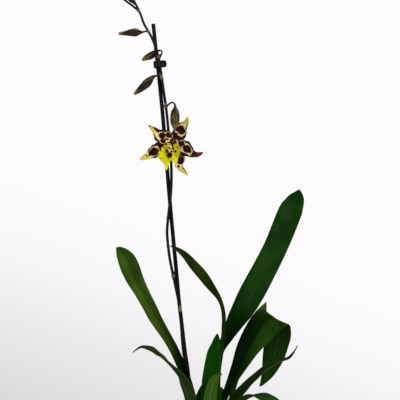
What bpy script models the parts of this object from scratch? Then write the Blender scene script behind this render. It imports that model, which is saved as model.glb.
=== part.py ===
"""Potted orchid: a pot of bark, three pseudobulbs and a young growth with their leaves, and one
flower spike with an open flower and buds, held to its stake by a small sprung claw clip.

Units are metres, +Z is up, the origin is the centre of the pot's flat base and the front faces -Y.
Station lists are in millimetres and degrees.
"""

import math

import bmesh
import bpy
from mathutils import Matrix, Vector

MM = 0.001
OBJECT_NAME = "potted_orchid"
TOUCHING_GAP = 0.3 * MM

# Pot and bark
POT_HEIGHT = 110 * MM
POT_RIM_RADIUS = 60 * MM
POT_BASE_RADIUS = 42 * MM
POT_WALL = 4 * MM
POT_BAND_HEIGHT = 14 * MM
POT_BAND_DEPTH = 2.5 * MM
POT_STEPS = 40
DRAIN_HOLES = 5
DRAIN_HOLE_RADIUS = 4.5 * MM
DRAIN_HOLE_CIRCLE = 25 * MM
BARK_TOP = 97 * MM

# Stake: a long rod, straight in the bark and slightly bowed above it
STAKE_RADIUS = 2.25
STAKE_FOOT = Vector((-14.7, 18.0, 20.0)) * MM
STAKE_COLLAR = Vector((-30.8, 18.0, 171.0)) * MM
STAKE_POINTS = [
    (-14.7, 18, 20), (-22.9, 18, 97), (-30.8, 18, 171), (-35.2, 18, 201), (-39.2, 18, 235),
    (-42.4, 18, 262), (-44.9, 18, 290), (-53.6, 18, 384), (-62.2, 18, 488), (-68.5, 18, 549),
    (-73.6, 18, 598),
]

# Claw clip, about its hinge: x runs towards the teeth, y forwards and z up along the stake
CLIP_HINGE = Vector((-63.8, 16.0, 549.0)) * MM
CLIP_UP = Vector((-0.1, 0.0, 1.0)).normalized()
CLIP_HEIGHT = 8 * MM
CLIP_BAND = 1.2 * MM
PIN_RADIUS = 0.6 * MM
PIN_LENGTH = 8.4 * MM
EAR_RADIUS = 1.5 * MM
EAR_THICKNESS = 1.0 * MM
EAR_HOLE_RADIUS = 0.72 * MM
FRONT_EAR_OFFSET = 3.3 * MM
BACK_EAR_OFFSET = 1.95 * MM
NOTCH_WIDTH = 1.2 * MM
NOTCH_DEPTH = 1.6 * MM
NOTCH_OFFSET = 2.0 * MM
FRONT_JAW_LINE = [
    (-6.8, 5.2), (-4.0, 3.8), (-1.0, 2.8), (0.3, 3.7), (2.0, 5.3), (4.6, 5.2), (7.2, 3.6), (8.9, 1.5),
    (9.2, 0.5),
]
BACK_JAW_LINE = [
    (-6.8, -5.2), (-4.0, -3.8), (-1.0, -2.8), (1.6, -3.9), (4.4, -5.5), (7.3, -4.9), (9.0, -2.4),
    (9.2, -0.5),
]
SPRING_COIL_RADIUS = 1.05
SPRING_WIRE_RADIUS = 0.2
SPRING_TURNS = 3
SPRING_LENGTH = 1.8
SPRING_LEG = (-3.8, 2.4)

# Foliage and flower
LEAF_THICKNESS = 1.0 * MM
PETAL_THICKNESS = 0.8 * MM
BLADE_COLUMNS = 4
FLOWER_CENTRE = Vector((-48.3, -12.0, 453.0))

GREEN = (0.05, 0.16, 0.03)
YOUNG_GREEN = (0.10, 0.30, 0.03)
SPIKE_BROWN = (0.04, 0.02, 0.015)
BUD_BROWN = (0.10, 0.06, 0.02)
PETAL_CREAM = (0.75, 0.6, 0.25)
LIP_YELLOW = (0.75, 0.65, 0.02)

# Each bulb: centre x and y, half width, half depth, top height
BULBS = {
    "left_pseudobulb": (-29, 0, 13, 9, 143),
    "back_pseudobulb": (8, 19, 13, 8.5, 157),
    "right_pseudobulb": (21, 0, 10.5, 8, 128),
    "young_growth": (-4, -15, 8, 6.3, 118),
}

# Each leaf station: x, y, z, half width, turn, tilt, fold.
# Turn is where the right-hand edge points seen from above, tilt is how far that edge dips,
# and fold is how far each half rises from flat.
LEAVES = {
    "left_tall_leaf": [
        (-29, 1, 144, 4.5, -20, 0, 60), (-30, -1, 163, 6.5, -22, 0, 45), (-36, -1, 181, 7.4, -24, 0, 38),
        (-44, -1, 200, 7.4, -25, 0, 32), (-54, 0, 218, 8.2, -25, 0, 30),
        (-68.5, 0, 243, 10.2, -25, 0, 30), (-77, -1, 259, 10.4, -25, 0, 28),
        (-86, -3, 276, 10.6, -20, 0, 24), (-94, -5, 290, 12.2, -15, 0, 20),
        (-99.5, -7, 303, 12.5, -10, 0, 16), (-104, -9, 315, 11, -8, 0, 14),
        (-108, -11, 323, 8, -8, 0, 12), (-112, -13, 327, 3, -5, 0, 10), (-116, -14, 326, 0.6, -5, 0, 8),
    ],
    "left_low_leaf": [
        (-23, -15, 99, 6, 165, 0, 30), (-28.5, -15.5, 122, 7.4, 155, 0, 32),
        (-32, -14.5, 145, 7.4, 140, 0, 36), (-38, -14, 163, 7.2, 125, 0, 36),
        (-47.5, -16, 179, 7.5, 110, -14, 34), (-58.5, -19, 192, 8, 100, -16, 26),
        (-70, -22, 201.5, 7.5, 95, -16, 20), (-79, -24, 206.5, 6, 92, -16, 16),
        (-88, -25, 207, 3.5, 90, -14, 14), (-96, -26, 203.5, 0.6, 90, -10, 10),
    ],
    "centre_arching_leaf": [
        (7, 13, 158, 4.0, 60, 0, 62), (9, 13, 176, 4.0, 62, 0, 60), (9.5, 13, 195, 4.2, 64, 0, 55),
        (10, 12, 225, 4.6, 66, 0, 48), (10, 11, 243.5, 5.4, 68, 0, 42), (7.4, 10, 257.5, 6.8, 68, 0, 36),
        (0.7, 9, 269.5, 7.8, 62, -12, 30), (-10, 8, 285.5, 8.6, 55, -18, 24),
        (-22, 7, 301, 8.6, 52, -20, 20), (-33.5, 6, 315, 6.6, 52, -20, 16),
        (-44, 4, 324.5, 3.6, 55, -18, 12), (-53, 3, 329, 0.6, 60, -15, 10),
    ],
    "right_tall_leaf": [
        (9, 20, 158, 4.2, -12, 0, 62), (10, 20, 177, 4.5, -12, 0, 58), (12.5, 20, 199, 5.5, -12, 0, 48),
        (16.6, 21, 213, 8.5, -14, 0, 38), (25.8, 23, 233, 12.4, -14, 0, 26),
        (34.4, 25, 247, 14.6, -14, 0, 20), (43, 28, 262, 16, -14, 0, 16),
        (54.5, 32, 283, 16.4, -14, 0, 14), (77, 40, 326, 15.5, -12, 0, 12),
        (94, 45, 367, 15.3, -10, 0, 12), (100.2, 46, 380, 12.5, -10, 0, 12),
        (104.2, 46, 389, 8.5, -10, 0, 12), (106.5, 46, 397, 0.8, -10, 0, 10),
    ],
    "right_folded_leaf": [
        (16.6, -4, 129, 4.2, -30, 0, 60), (18.6, -1, 146, 5.4, -30, 0, 55),
        (24.5, 4, 163, 8.6, -28, 0, 46), (33, 11, 182, 13, -25, 0, 36), (42, 20, 200, 16.6, -20, 6, 30),
        (53.5, 33, 217, 18.4, -12, 16, 24), (66.5, 49, 229, 18.6, -5, 28, 18),
        (77.5, 62, 230.5, 18.6, 0, 34, 14), (81.5, 71, 219, 17, 0, 20, 16), (80, 77, 202, 16, 0, 4, 18),
        (76, 81, 183, 14, 0, 0, 18), (70, 83, 165, 9, 0, 0, 16), (63, 84, 152, 3.5, 0, 0, 14),
        (59, 84, 147, 0.7, 0, 0, 12),
    ],
    "right_hidden_leaf": [
        (21, 6, 129, 4.2, -30, 0, 60), (23.8, 16, 150, 5.5, -30, 0, 50), (31, 31, 175, 8, -26, 0, 38),
        (39, 48, 198, 9.5, -22, 0, 28), (49, 66, 220, 9, -16, 0, 20), (58.5, 77, 239, 6.5, -10, 0, 16),
        (65.5, 82, 254, 0.7, -8, 0, 12),
    ],
    "right_narrow_leaf": [
        (15, -13, 104, 5, -60, 0, 50), (17, -13, 132, 6, -62, 0, 48), (27.4, -14, 147, 7.5, -66, 6, 44),
        (38.6, -17, 160, 8.5, -70, 12, 38), (48.4, -19, 170.6, 9, -74, 14, 34),
        (58, -21, 180, 8, -78, 12, 32), (68, -23, 187.5, 6.6, -80, 10, 30),
        (79, -25, 193.5, 5.5, -82, 10, 28), (89, -26, 198, 4, -82, 8, 24),
        (94, -27, 205, 2.2, -80, 4, 20), (98, -28, 213, 0.6, -78, 0, 16),
    ],
    "front_right_leaf": [
        (22, -16, 100, 6, -120, 0, 46), (26, -21, 125, 8, -125, 0, 40), (34, -31, 146, 10.5, -130, 0, 30),
        (46, -44, 156, 12, -133, 0, 22), (58, -56, 155, 13, -135, 0, 18),
        (70, -68, 146, 12.5, -135, 0, 16), (80, -78, 131, 10.5, -135, 0, 14),
        (87, -85, 112, 6, -135, 0, 12), (90, -88, 98, 0.7, -135, 0, 10),
    ],
    "young_leaf": [
        (-4, -15, 119, 6, 5, 0, 40), (-4, -13.5, 146, 11.8, 5, 0, 24), (-4, -13.5, 166, 12.2, 5, 0, 24),
        (-2, -13, 187, 11, 5, 0, 24), (-1, -13, 201, 8.5, 5, 0, 22), (2, -12, 212, 6, 5, 0, 20),
        (3, -12, 219, 3.8, 5, 0, 16), (4, -12, 225, 0.7, 5, 0, 12),
    ],
    "front_small_leaf": [
        (-4, -25, 99, 6, 175, 0, 30), (-5, -25.5, 125, 8.5, 175, 0, 26),
        (-5, -25.5, 148, 8.6, 178, 0, 24), (-3, -25, 162, 7.8, 180, 0, 24), (0, -24, 171, 6, 180, 0, 22),
        (4, -24, 176, 3.6, 180, 0, 18), (9, -24, 179, 0.7, 180, 0, 12),
    ],
    "outer_sheath": [
        (-14.8, -12.4, 99, 5.2, 60, 0, 36), (-18.5, -13, 125, 6, 52, 0, 36),
        (-20, -12.5, 146, 4.6, 46, 0, 34), (-18.5, -12.5, 156, 3, 44, 0, 28),
        (-16, -12.5, 163, 0.7, 44, 0, 20),
    ],
}

# Each petal station: x, forward, z, half width, fold, measured from the flower's centre.
PETALS = {
    "dorsal_sepal": [
        (1.6, -1.8, 4.0, 2.2, 20), (4.5, -2.0, 8.0, 4.2, 14), (8.0, -2.0, 12.8, 6.8, 8),
        (10.8, -1.6, 17.5, 7.0, 8), (13.2, -0.8, 22.0, 5.0, 10), (15.2, 0.4, 26.5, 2.8, 12),
        (16.8, 1.6, 30.2, 0.6, 12),
    ],
    "left_petal": [
        (-3.2, 1.0, 3.0, 2.0, 16), (-7.5, 1.4, 5.6, 6.2, 8), (-12.0, 1.6, 7.0, 6.8, 4),
        (-16.9, 1.2, 8.6, 6.2, 6), (-21.4, 0.4, 13.6, 4.2, 10), (-25.2, -0.4, 17.3, 2.2, 12),
        (-29.3, -1.0, 19.9, 0.6, 12),
    ],
    "right_petal": [
        (3.6, 1.0, -1.2, 2.0, 16), (8.3, 1.4, -4.6, 7.2, 8), (13.6, 1.6, -7.2, 8.6, 4),
        (18.6, 1.2, -10.4, 6.4, 6), (23.5, 0.4, -13.8, 3.2, 10), (29.5, -0.6, -13.4, 1.7, 12),
        (35.1, -1.6, -11.7, 0.6, 12),
    ],
    "lower_left_sepal": [
        (-3.8, -1.8, -1.8, 2.0, 20), (-10.0, -1.8, -5.0, 4.8, 12), (-18.5, -1.6, -9.4, 7.6, 8),
        (-26.8, -1.0, -12.5, 6.8, 8), (-33.3, 0.0, -16.6, 3.8, 10), (-40.2, 1.2, -20.2, 0.6, 12),
    ],
    "lower_right_sepal": [
        (1.6, -1.8, -4.0, 2.0, 20), (3.6, -2.0, -10.0, 4.2, 12), (5.6, -2.0, -16.5, 6.0, 8),
        (6.0, -1.8, -22.5, 6.0, 8), (5.8, -1.4, -27.5, 4.6, 10), (8.2, -0.6, -32.6, 3.6, 12),
        (12.5, 0.6, -36.3, 2.0, 12), (17.5, 1.6, -39.6, 0.6, 12),
    ],
    "lip": [
        (-0.9, 2.6, -3.6, 3.6, -20), (-2.0, 5.0, -7.0, 8.0, 24), (-3.2, 6.6, -11.5, 6.2, 12),
        (-4.2, 7.0, -15.5, 5.8, -4), (-6.0, 7.0, -20.5, 10.0, -12), (-7.3, 6.0, -26.0, 10.2, -14),
        (-8.2, 4.6, -30.0, 6.5, -12), (-8.7, 3.4, -33.0, 1.4, -8),
    ],
}

# Each stem station: x, y, z, radius.
STEMS = {
    "flower_spike": [
        (-23, 12.9, 98, 1.9), (-26, 13, 142, 1.8), (-31, 13, 166, 1.7), (-37, 13, 202, 1.7),
        (-41, 13, 250, 1.7), (-46.8, 13, 281, 1.6), (-53.2, 13, 312, 1.5), (-56.4, 13, 339, 1.5),
        (-56, 13, 357, 1.5), (-52, 13, 394, 1.5), (-51.5, 13, 423, 1.5), (-53.6, 13, 451, 1.5),
        (-57, 13, 488, 1.5), (-61, 13, 517, 1.5), (-64.6, 13, 536, 1.5), (-67.4, 13.2, 550, 1.4),
        (-71.3, 13.2, 568, 1.4), (-77, 13.2, 583, 1.4), (-85, 13, 597, 1.4), (-91.2, 13, 611, 1.3),
        (-100, 12, 617.5, 1.1), (-112.5, 10, 624.5, 1.0), (-124, 9, 635, 0.9), (-134, 8, 647, 0.8),
        (-141, 8, 659, 0.6),
    ],
    "flower_stalk": [
        (-53.2, 10.6, 438, 1.0), (-53.5, 5, 441, 1.0), (-51.5, -2, 447, 1.3), (-49, -6.5, 452, 1.7),
        (-48.3, -9.8, 453, 1.5),
    ],
    "upper_left_bud": [
        (-82.2, 11.6, 588.4, 0.7), (-86, 10, 587, 1.0), (-90, 8, 586.4, 3.0), (-94, 6, 586, 4.6),
        (-99, 5, 585.6, 4.3), (-107, 3.5, 584.6, 2.6), (-114, 2, 584, 1.2),
    ],
    "stake_bud": [
        (-65.0, 12.8, 557.4, 0.7), (-62.6, 15, 561, 0.8), (-63.4, 20, 565.2, 0.8), (-67, 24, 566.4, 1.0),
        (-71, 25.5, 564, 3.4), (-76, 25.5, 560.5, 4.2), (-82, 25.5, 557.8, 3.2),
        (-87.5, 25.5, 555.6, 1.3),
    ],
    "lower_left_bud": [
        (-64.6, 10.6, 534, 0.8), (-70, 9, 534, 1.0), (-74, 8, 532, 2.6), (-78.5, 7.6, 527.6, 4.6),
        (-83, 7, 523, 4.9), (-90, 6, 516.6, 3.2), (-96, 5.4, 511.6, 1.3),
    ],
    "hanging_bud": [
        (-57.6, 10.6, 497, 0.7), (-54, 4, 499.6, 0.8), (-50, -8, 500.4, 0.8), (-47, -17, 497.6, 0.9),
        (-46.2, -19.6, 494, 1.4), (-46.2, -20, 489, 4.2), (-46.3, -20, 482.5, 5.4),
        (-46.4, -20, 476, 4.2), (-46.2, -19.6, 469.6, 1.5),
    ],
    "top_bud": [
        (-92.6, 11.4, 615.2, 0.7), (-95.5, 9, 620.2, 1.2), (-99, 7.6, 625, 3.4), (-102.5, 6.4, 630, 4.2),
        (-107, 5.2, 635.6, 3.0), (-112, 4, 641, 1.2),
    ],
    "tip_bud_left": [
        (-127.4, 7, 635.6, 0.6), (-131, 5.6, 637, 1.2), (-135.5, 4.4, 638.4, 2.6),
        (-140, 3.4, 639.4, 2.0), (-144, 2.8, 640, 0.9),
    ],
    "tip_bud_right": [
        (-132.6, 6.4, 651, 0.6), (-131, 5.2, 654, 1.0), (-129.4, 4.2, 658, 2.2), (-128, 3.6, 662, 1.6),
        (-127, 3.2, 665, 0.8),
    ],
    "column": [
        (-48.3, -11.0, 453.6, 1.4), (-48.3, -13.5, 454.0, 1.9), (-48.4, -16.5, 453.6, 2.0),
        (-48.6, -18.6, 452.6, 1.5),
    ],
}


def clear_scene():
    """Remove every object so that the model stands alone."""
    for item in list(bpy.data.objects):
        bpy.data.objects.remove(item, do_unlink=True)


def new_collection(name):
    """Return a new collection linked to the scene."""
    collection = bpy.data.collections.new(name)
    bpy.context.scene.collection.children.link(collection)
    return collection


def new_material(name, colour, roughness, metallic=0.0):
    """Return a Principled material."""
    material = bpy.data.materials.new(name)
    material.use_nodes = True
    shader = material.node_tree.nodes["Principled BSDF"]
    shader.inputs["Base Color"].default_value = (*colour, 1.0)
    shader.inputs["Roughness"].default_value = roughness
    shader.inputs["Metallic"].default_value = metallic
    return material


def add_object(name, data, collection, material=None):
    """Link an object for mesh or curve data into a collection."""
    item = bpy.data.objects.new(name, data)
    collection.objects.link(item)
    if material is not None:
        data.materials.append(material)
    return item


def as_mesh(item):
    """Turn a curve object into a mesh object of the same name, with its caps welded."""
    graph = bpy.context.evaluated_depsgraph_get()
    mesh = bpy.data.meshes.new_from_object(item.evaluated_get(graph))
    cage = bmesh.new()
    cage.from_mesh(mesh)
    bmesh.ops.remove_doubles(cage, verts=cage.verts, dist=0.00001)
    cage.to_mesh(mesh)
    cage.free()
    name, collection, place = item.name, item.users_collection[0], item.matrix_world.copy()
    bpy.data.objects.remove(item, do_unlink=True)
    result = bpy.data.objects.new(name, mesh)
    result.matrix_world = place
    collection.objects.link(result)
    return result


def smooth_points(stations, steps):
    """Return points on a Catmull-Rom curve through the stations, with steps of them to a span."""
    ends = [
        tuple(2 * a - b for a, b in zip(stations[0], stations[1])),
        tuple(2 * a - b for a, b in zip(stations[-1], stations[-2])),
    ]
    padded = [ends[0], *stations, ends[1]]
    points = []
    for before, start, end, after in zip(padded, padded[1:], padded[2:], padded[3:]):
        for step in range(steps):
            t = step / steps
            points.append(tuple(
                b + 0.5 * t * (c - a + t * (2 * a - 5 * b + 4 * c - d + t * (3 * b - a - 3 * c + d)))
                for a, b, c, d in zip(before, start, end, after)
            ))
    points.append(tuple(stations[-1]))
    return points


def make_turned(name, profile, collection, material=None):
    """Turn a profile of (radius, height) pairs, which runs down the outer side, about the Z axis."""
    mesh = bpy.data.meshes.new(name)
    cage = bmesh.new()
    corners = [cage.verts.new((radius, 0, height)) for radius, height in profile]
    for first, second in zip(corners, corners[1:]):
        cage.edges.new((first, second))
    cage.to_mesh(mesh)
    cage.free()
    item = add_object(name, mesh, collection, material)
    screw = item.modifiers.new("turn", "SCREW")
    screw.steps = POT_STEPS
    screw.render_steps = POT_STEPS
    screw.use_merge_vertices = True
    screw.merge_threshold = 0.00005
    screw.use_smooth_shade = True
    return item


def make_cylinder(name, radius, depth, place, collection, material=None, sides=16):
    """Return a capped cylinder along its own Z axis, set at a place matrix."""
    mesh = bpy.data.meshes.new(name)
    cage = bmesh.new()
    bmesh.ops.create_cone(cage, cap_ends=True, segments=sides, radius1=radius, radius2=radius, depth=depth)
    cage.to_mesh(mesh)
    cage.free()
    mesh.shade_smooth()
    mesh.set_sharp_from_angle(angle=math.radians(40))
    item = add_object(name, mesh, collection, material)
    item.matrix_world = place
    return item


def make_box(name, size, place, collection):
    """Return a box of the given size, set at a place matrix."""
    mesh = bpy.data.meshes.new(name)
    cage = bmesh.new()
    bmesh.ops.create_cube(cage, size=1.0)
    bmesh.ops.scale(cage, vec=size, verts=cage.verts)
    cage.to_mesh(mesh)
    cage.free()
    item = add_object(name, mesh, collection)
    item.matrix_world = place
    return item


def make_plate(name, outline, thickness, place, collection):
    """Return a flat outline of (x, y) in metres as a plate, centred on its own XY plane."""
    curve = bpy.data.curves.new(name, "CURVE")
    curve.dimensions = "2D"
    curve.fill_mode = "BOTH"
    curve.extrude = thickness / 2
    spline = curve.splines.new("POLY")
    spline.points.add(len(outline) - 1)
    for point, (x, y) in zip(spline.points, outline):
        point.co = (x, y, 0.0, 1.0)
    spline.use_cyclic_u = True
    item = add_object(name, curve, collection)
    item.matrix_world = place
    bpy.context.view_layer.update()
    return as_mesh(item)


def make_stem(name, stations, collection, material, steps=2):
    """Return a round stem through stations of x, y, z and radius in millimetres."""
    points = smooth_points(stations, steps)
    curve = bpy.data.curves.new(name, "CURVE")
    curve.dimensions = "3D"
    curve.bevel_depth = MM
    curve.bevel_resolution = 2
    curve.use_fill_caps = True
    spline = curve.splines.new("POLY")
    spline.points.add(len(points) - 1)
    for point, (x, y, z, radius) in zip(spline.points, points):
        point.co = (x * MM, y * MM, z * MM, 1.0)
        point.radius = radius
    return add_object(name, curve, collection, material)


def section_frames(places, across_hints):
    """Return (across, normal) unit vectors for each place on a spine, square to its direction."""
    frames = []
    for index, hint in enumerate(across_hints):
        ahead = places[min(index + 1, len(places) - 1)]
        behind = places[max(index - 1, 0)]
        along = (ahead - behind).normalized()
        across = (hint - along * hint.dot(along)).normalized()
        frames.append((across, across.cross(along)))
    return frames


def turned_hint(turn, tilt):
    """Return the direction of a leaf's right-hand edge from its turn and tilt in degrees."""
    turn, tilt = math.radians(turn), math.radians(tilt)
    return Vector((math.cos(turn) * math.cos(tilt), math.sin(turn) * math.cos(tilt), -math.sin(tilt)))


def facing_hint(places, index, facing):
    """Return the direction across a petal that shows its upper side along the facing vector."""
    ahead = places[min(index + 1, len(places) - 1)]
    behind = places[max(index - 1, 0)]
    return (ahead - behind).cross(facing).normalized()


def make_blade(name, places, frames, half_widths, folds, thickness, collection, material):
    """Return a leaf or petal: a folded sheet along a spine of places in metres, given a thickness."""
    rows = len(places) - 1
    mesh = bpy.data.meshes.new(name)
    cage = bmesh.new()
    bmesh.ops.create_grid(cage, x_segments=BLADE_COLUMNS, y_segments=rows, size=1.0)
    for vertex in cage.verts:
        side = vertex.co.x
        row = round((vertex.co.y + 1) / 2 * rows)
        across, normal = frames[row]
        fold = math.radians(folds[row])
        rise = math.sqrt(side * side + 0.01) - 0.1
        spread = across * (side * math.cos(fold)) + normal * (rise * math.sin(fold))
        vertex.co = places[row] + spread * half_widths[row]
    cage.to_mesh(mesh)
    cage.free()
    mesh.shade_smooth()
    item = add_object(name, mesh, collection, material)
    solidify = item.modifiers.new("thickness", "SOLIDIFY")
    solidify.thickness = thickness
    solidify.offset = 0.0
    return item


def make_leaf(name, stations, collection, material):
    """Return one strap leaf from its stations."""
    points = smooth_points(stations, 2)
    places = [Vector(point[:3]) * MM for point in points]
    frames = section_frames(places, [turned_hint(point[4], point[5]) for point in points])
    half_widths = [point[3] * MM for point in points]
    folds = [point[6] for point in points]
    return make_blade(name, places, frames, half_widths, folds, LEAF_THICKNESS, collection, material)


def make_petal(name, stations, collection, material):
    """Return one sepal, petal or lip from its stations about the flower's centre."""
    points = smooth_points(stations, 2)
    places = [(FLOWER_CENTRE + Vector((point[0], -point[1], point[2]))) * MM for point in points]
    facing = Vector((0.0, -1.0, 0.0))
    hints = [facing_hint(places, index, facing) for index in range(len(places))]
    frames = section_frames(places, hints)
    half_widths = [point[3] * MM for point in points]
    folds = [point[4] for point in points]
    return make_blade(name, places, frames, half_widths, folds, PETAL_THICKNESS, collection, material)


def make_bulb(name, shape, collection, material):
    """Return a flattened pseudobulb that stands on the bark and narrows to its leafy top."""
    x, y, half_width, half_depth, top = (value * MM for value in shape)
    floor = BARK_TOP + TOUCHING_GAP
    height = top - floor
    mesh = bpy.data.meshes.new(name)
    cage = bmesh.new()
    bmesh.ops.create_uvsphere(cage, u_segments=16, v_segments=12, radius=1.0)
    bmesh.ops.bisect_plane(
        cage, geom=cage.verts[:] + cage.edges[:] + cage.faces[:], plane_co=(0, 0, -0.7), plane_no=(0, 0, -1),
        clear_outer=True,
    )
    bmesh.ops.holes_fill(cage, edges=cage.edges)
    for vertex in cage.verts:
        level = (vertex.co.z + 0.7) / 1.7
        waist = 1.0 - 0.35 * level
        wide = x + vertex.co.x * half_width * waist
        deep = y + vertex.co.y * half_depth * waist
        vertex.co = (wide, deep, floor + height * level)
    cage.to_mesh(mesh)
    cage.free()
    mesh.shade_smooth()
    return add_object(name, mesh, collection, material)


def axis_place(start, end):
    """Return the matrix of a rod centred between two points, with Z along it."""
    turn = (end - start).to_track_quat("Z", "Y").to_matrix().to_4x4()
    return Matrix.Translation((start + end) / 2) @ turn


def clip_place(height=0.0):
    """Return the matrix of the clip's own frame, moved up its hinge by a height."""
    forwards = Vector((0.0, -1.0, 0.0))
    turn = Matrix((forwards.cross(CLIP_UP), forwards, CLIP_UP)).transposed().to_4x4()
    return Matrix.Translation(CLIP_HINGE + CLIP_UP * height) @ turn


def cut(item, cutter, operation="DIFFERENCE"):
    """Add an exact Boolean to an item and hide the other shape."""
    boolean = item.modifiers.new(cutter.name, "BOOLEAN")
    boolean.operation = operation
    boolean.solver = "EXACT"
    boolean.object = cutter
    cutter.hide_render = True
    cutter.display_type = "WIRE"


def inner_radius(height):
    """Return the pot's inner radius at a height."""
    share = (height - POT_WALL) / (POT_HEIGHT - POT_WALL)
    low = POT_BASE_RADIUS - POT_WALL + 1 * MM
    high = POT_RIM_RADIUS - POT_BAND_DEPTH - POT_WALL
    return low + (high - low) * share


def make_pot(collection, cutters, material):
    """Make the plain tapered pot with its rim band and drain holes."""
    band_foot = POT_HEIGHT - POT_BAND_HEIGHT
    lip = 1.5 * MM
    profile = [
        (0.0, POT_WALL), (inner_radius(POT_WALL), POT_WALL), (inner_radius(POT_HEIGHT), POT_HEIGHT - lip),
        (inner_radius(POT_HEIGHT) + lip, POT_HEIGHT), (POT_RIM_RADIUS - lip, POT_HEIGHT),
        (POT_RIM_RADIUS, POT_HEIGHT - lip), (POT_RIM_RADIUS - lip, band_foot),
        (POT_RIM_RADIUS - POT_BAND_DEPTH - lip, band_foot - lip), (POT_BASE_RADIUS + lip, 2 * lip),
        (POT_BASE_RADIUS, 0.0), (0.0, 0.0),
    ]
    pot = make_turned("pot", profile, collection, material)
    for index in range(DRAIN_HOLES):
        angle = math.tau * (index + 0.25) / DRAIN_HOLES
        spot = Vector((math.cos(angle), math.sin(angle), 0.0)) * DRAIN_HOLE_CIRCLE
        hole = make_cylinder(
            f"drain_hole_{index + 1}", DRAIN_HOLE_RADIUS, 4 * POT_WALL, Matrix.Translation(spot), cutters,
        )
        cut(pot, hole)


def make_bark(collection, cutters, material):
    """Make the potting bark as one filling with a hole for the stake."""
    floor = POT_WALL + TOUCHING_GAP
    gap = 2 * TOUCHING_GAP
    shoulder = 4 * MM
    profile = [
        (0.0, BARK_TOP), (inner_radius(BARK_TOP) - gap - shoulder, BARK_TOP),
        (inner_radius(BARK_TOP - shoulder) - gap, BARK_TOP - shoulder), (inner_radius(floor) - gap, floor),
        (0.0, floor),
    ]
    bark = make_turned("potting_bark", profile, collection, material)
    along = (STAKE_COLLAR - STAKE_FOOT).normalized()
    start = STAKE_FOOT - along * TOUCHING_GAP
    radius = STAKE_RADIUS * MM + 2 * TOUCHING_GAP
    length = (STAKE_COLLAR - start).length
    bore = make_cylinder("stake_hole", radius, length, axis_place(start, STAKE_COLLAR), cutters)
    cut(bark, bore)


def band_outline(line):
    """Return the outline of a band of the clip's thickness along a centre line."""
    points = [Vector(point) * MM for point in smooth_points(line, 2)]
    left, right = [], []
    for index, point in enumerate(points):
        along = points[min(index + 1, len(points) - 1)] - points[max(index - 1, 0)]
        square = Vector((-along.y, along.x)).normalized() * (CLIP_BAND / 2)
        left.append(point + square)
        right.append(point - square)
    return left + right[::-1]


def ear_outline(side):
    """Return the outline of a hinge ear, round at the pin and reaching the band beside it."""
    reach = side * 2.8 * MM
    arc = [
        Vector((math.cos(math.pi * step / 8), -side * math.sin(math.pi * step / 8))) * EAR_RADIUS
        for step in range(9)
    ]
    return [*arc, Vector((-EAR_RADIUS, reach)), Vector((0.6 * EAR_RADIUS, reach))]


def make_jaw(name, line, side, ear_offset, collection, cutters, material):
    """Make one half of the clip: a bent band with two hinge ears and notched teeth."""
    jaw = make_plate(name, band_outline(line), CLIP_HEIGHT, clip_place(), collection)
    jaw.data.materials.append(material)
    for sign in (-1, 1):
        ear = make_plate(
            f"{name}_ear_{sign}", ear_outline(side), EAR_THICKNESS, clip_place(sign * ear_offset), cutters,
        )
        cut(jaw, ear, "UNION")
        notch_place = clip_place(sign * NOTCH_OFFSET) @ Matrix.Translation((9 * MM, side * NOTCH_DEPTH / 2, 0))
        notch = make_box(f"{name}_notch_{sign}", (4 * MM, NOTCH_DEPTH, NOTCH_WIDTH), notch_place, cutters)
        cut(jaw, notch)
    hole = make_cylinder(f"{name}_pin_hole", EAR_HOLE_RADIUS, 2 * CLIP_HEIGHT, clip_place(), cutters)
    cut(jaw, hole)


def make_spring(collection, material):
    """Make the torsion spring: turns around the pin and a leg behind each handle."""
    coil = []
    turn_steps = 10
    total = SPRING_TURNS * turn_steps + turn_steps // 2
    for step in range(total + 1):
        angle = math.pi / 2 - math.tau * step / turn_steps
        height = SPRING_LENGTH * (step / total - 0.5)
        coil.append(Vector((math.cos(angle), math.sin(angle), 0)) * SPRING_COIL_RADIUS + Vector((0, 0, height)))
    leg_x, leg_y = SPRING_LEG
    route = [Vector((leg_x, leg_y, coil[0].z)), *coil, Vector((leg_x, -leg_y, coil[-1].z))]
    placed = [clip_place() @ (point * MM) / MM for point in route]
    stations = [(*point, SPRING_WIRE_RADIUS) for point in placed]
    make_stem("clip_spring", stations, collection, material, steps=1)


def make_clip(collection, cutters):
    """Make the claw clip's jaws, pin and spring."""
    plastic = new_material("clip_plastic", (0.03, 0.035, 0.02), 0.45)
    steel = new_material("spring_steel", (0.55, 0.55, 0.55), 0.3, 1.0)
    make_jaw("clip_front_jaw", FRONT_JAW_LINE, 1, FRONT_EAR_OFFSET, collection, cutters, plastic)
    make_jaw("clip_back_jaw", BACK_JAW_LINE, -1, BACK_EAR_OFFSET, collection, cutters, plastic)
    make_cylinder("clip_pin", PIN_RADIUS, PIN_LENGTH, clip_place(), collection, steel)
    make_spring(collection, steel)


def make_holder(collection, cutters):
    """Make the pot, its bark and the stake."""
    make_pot(collection, cutters, new_material("pot_glaze", (0.72, 0.70, 0.66), 0.35))
    make_bark(collection, cutters, new_material("orchid_bark", (0.16, 0.09, 0.05), 0.9))
    stake_material = new_material("stake_coating", (0.012, 0.016, 0.012), 0.4)
    stations = [(*point, STAKE_RADIUS) for point in STAKE_POINTS]
    make_stem("stake", stations, collection, stake_material, steps=2)


def stem_material(name):
    """Return the material of a stem, bud, stalk or column by its name."""
    if name.endswith("bud") or name.startswith("tip_bud"):
        return new_material(f"{name}_skin", BUD_BROWN, 0.5)
    if name == "column":
        return new_material("column_skin", (0.45, 0.2, 0.12), 0.5)
    return new_material(f"{name}_skin", SPIKE_BROWN, 0.45)


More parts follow.
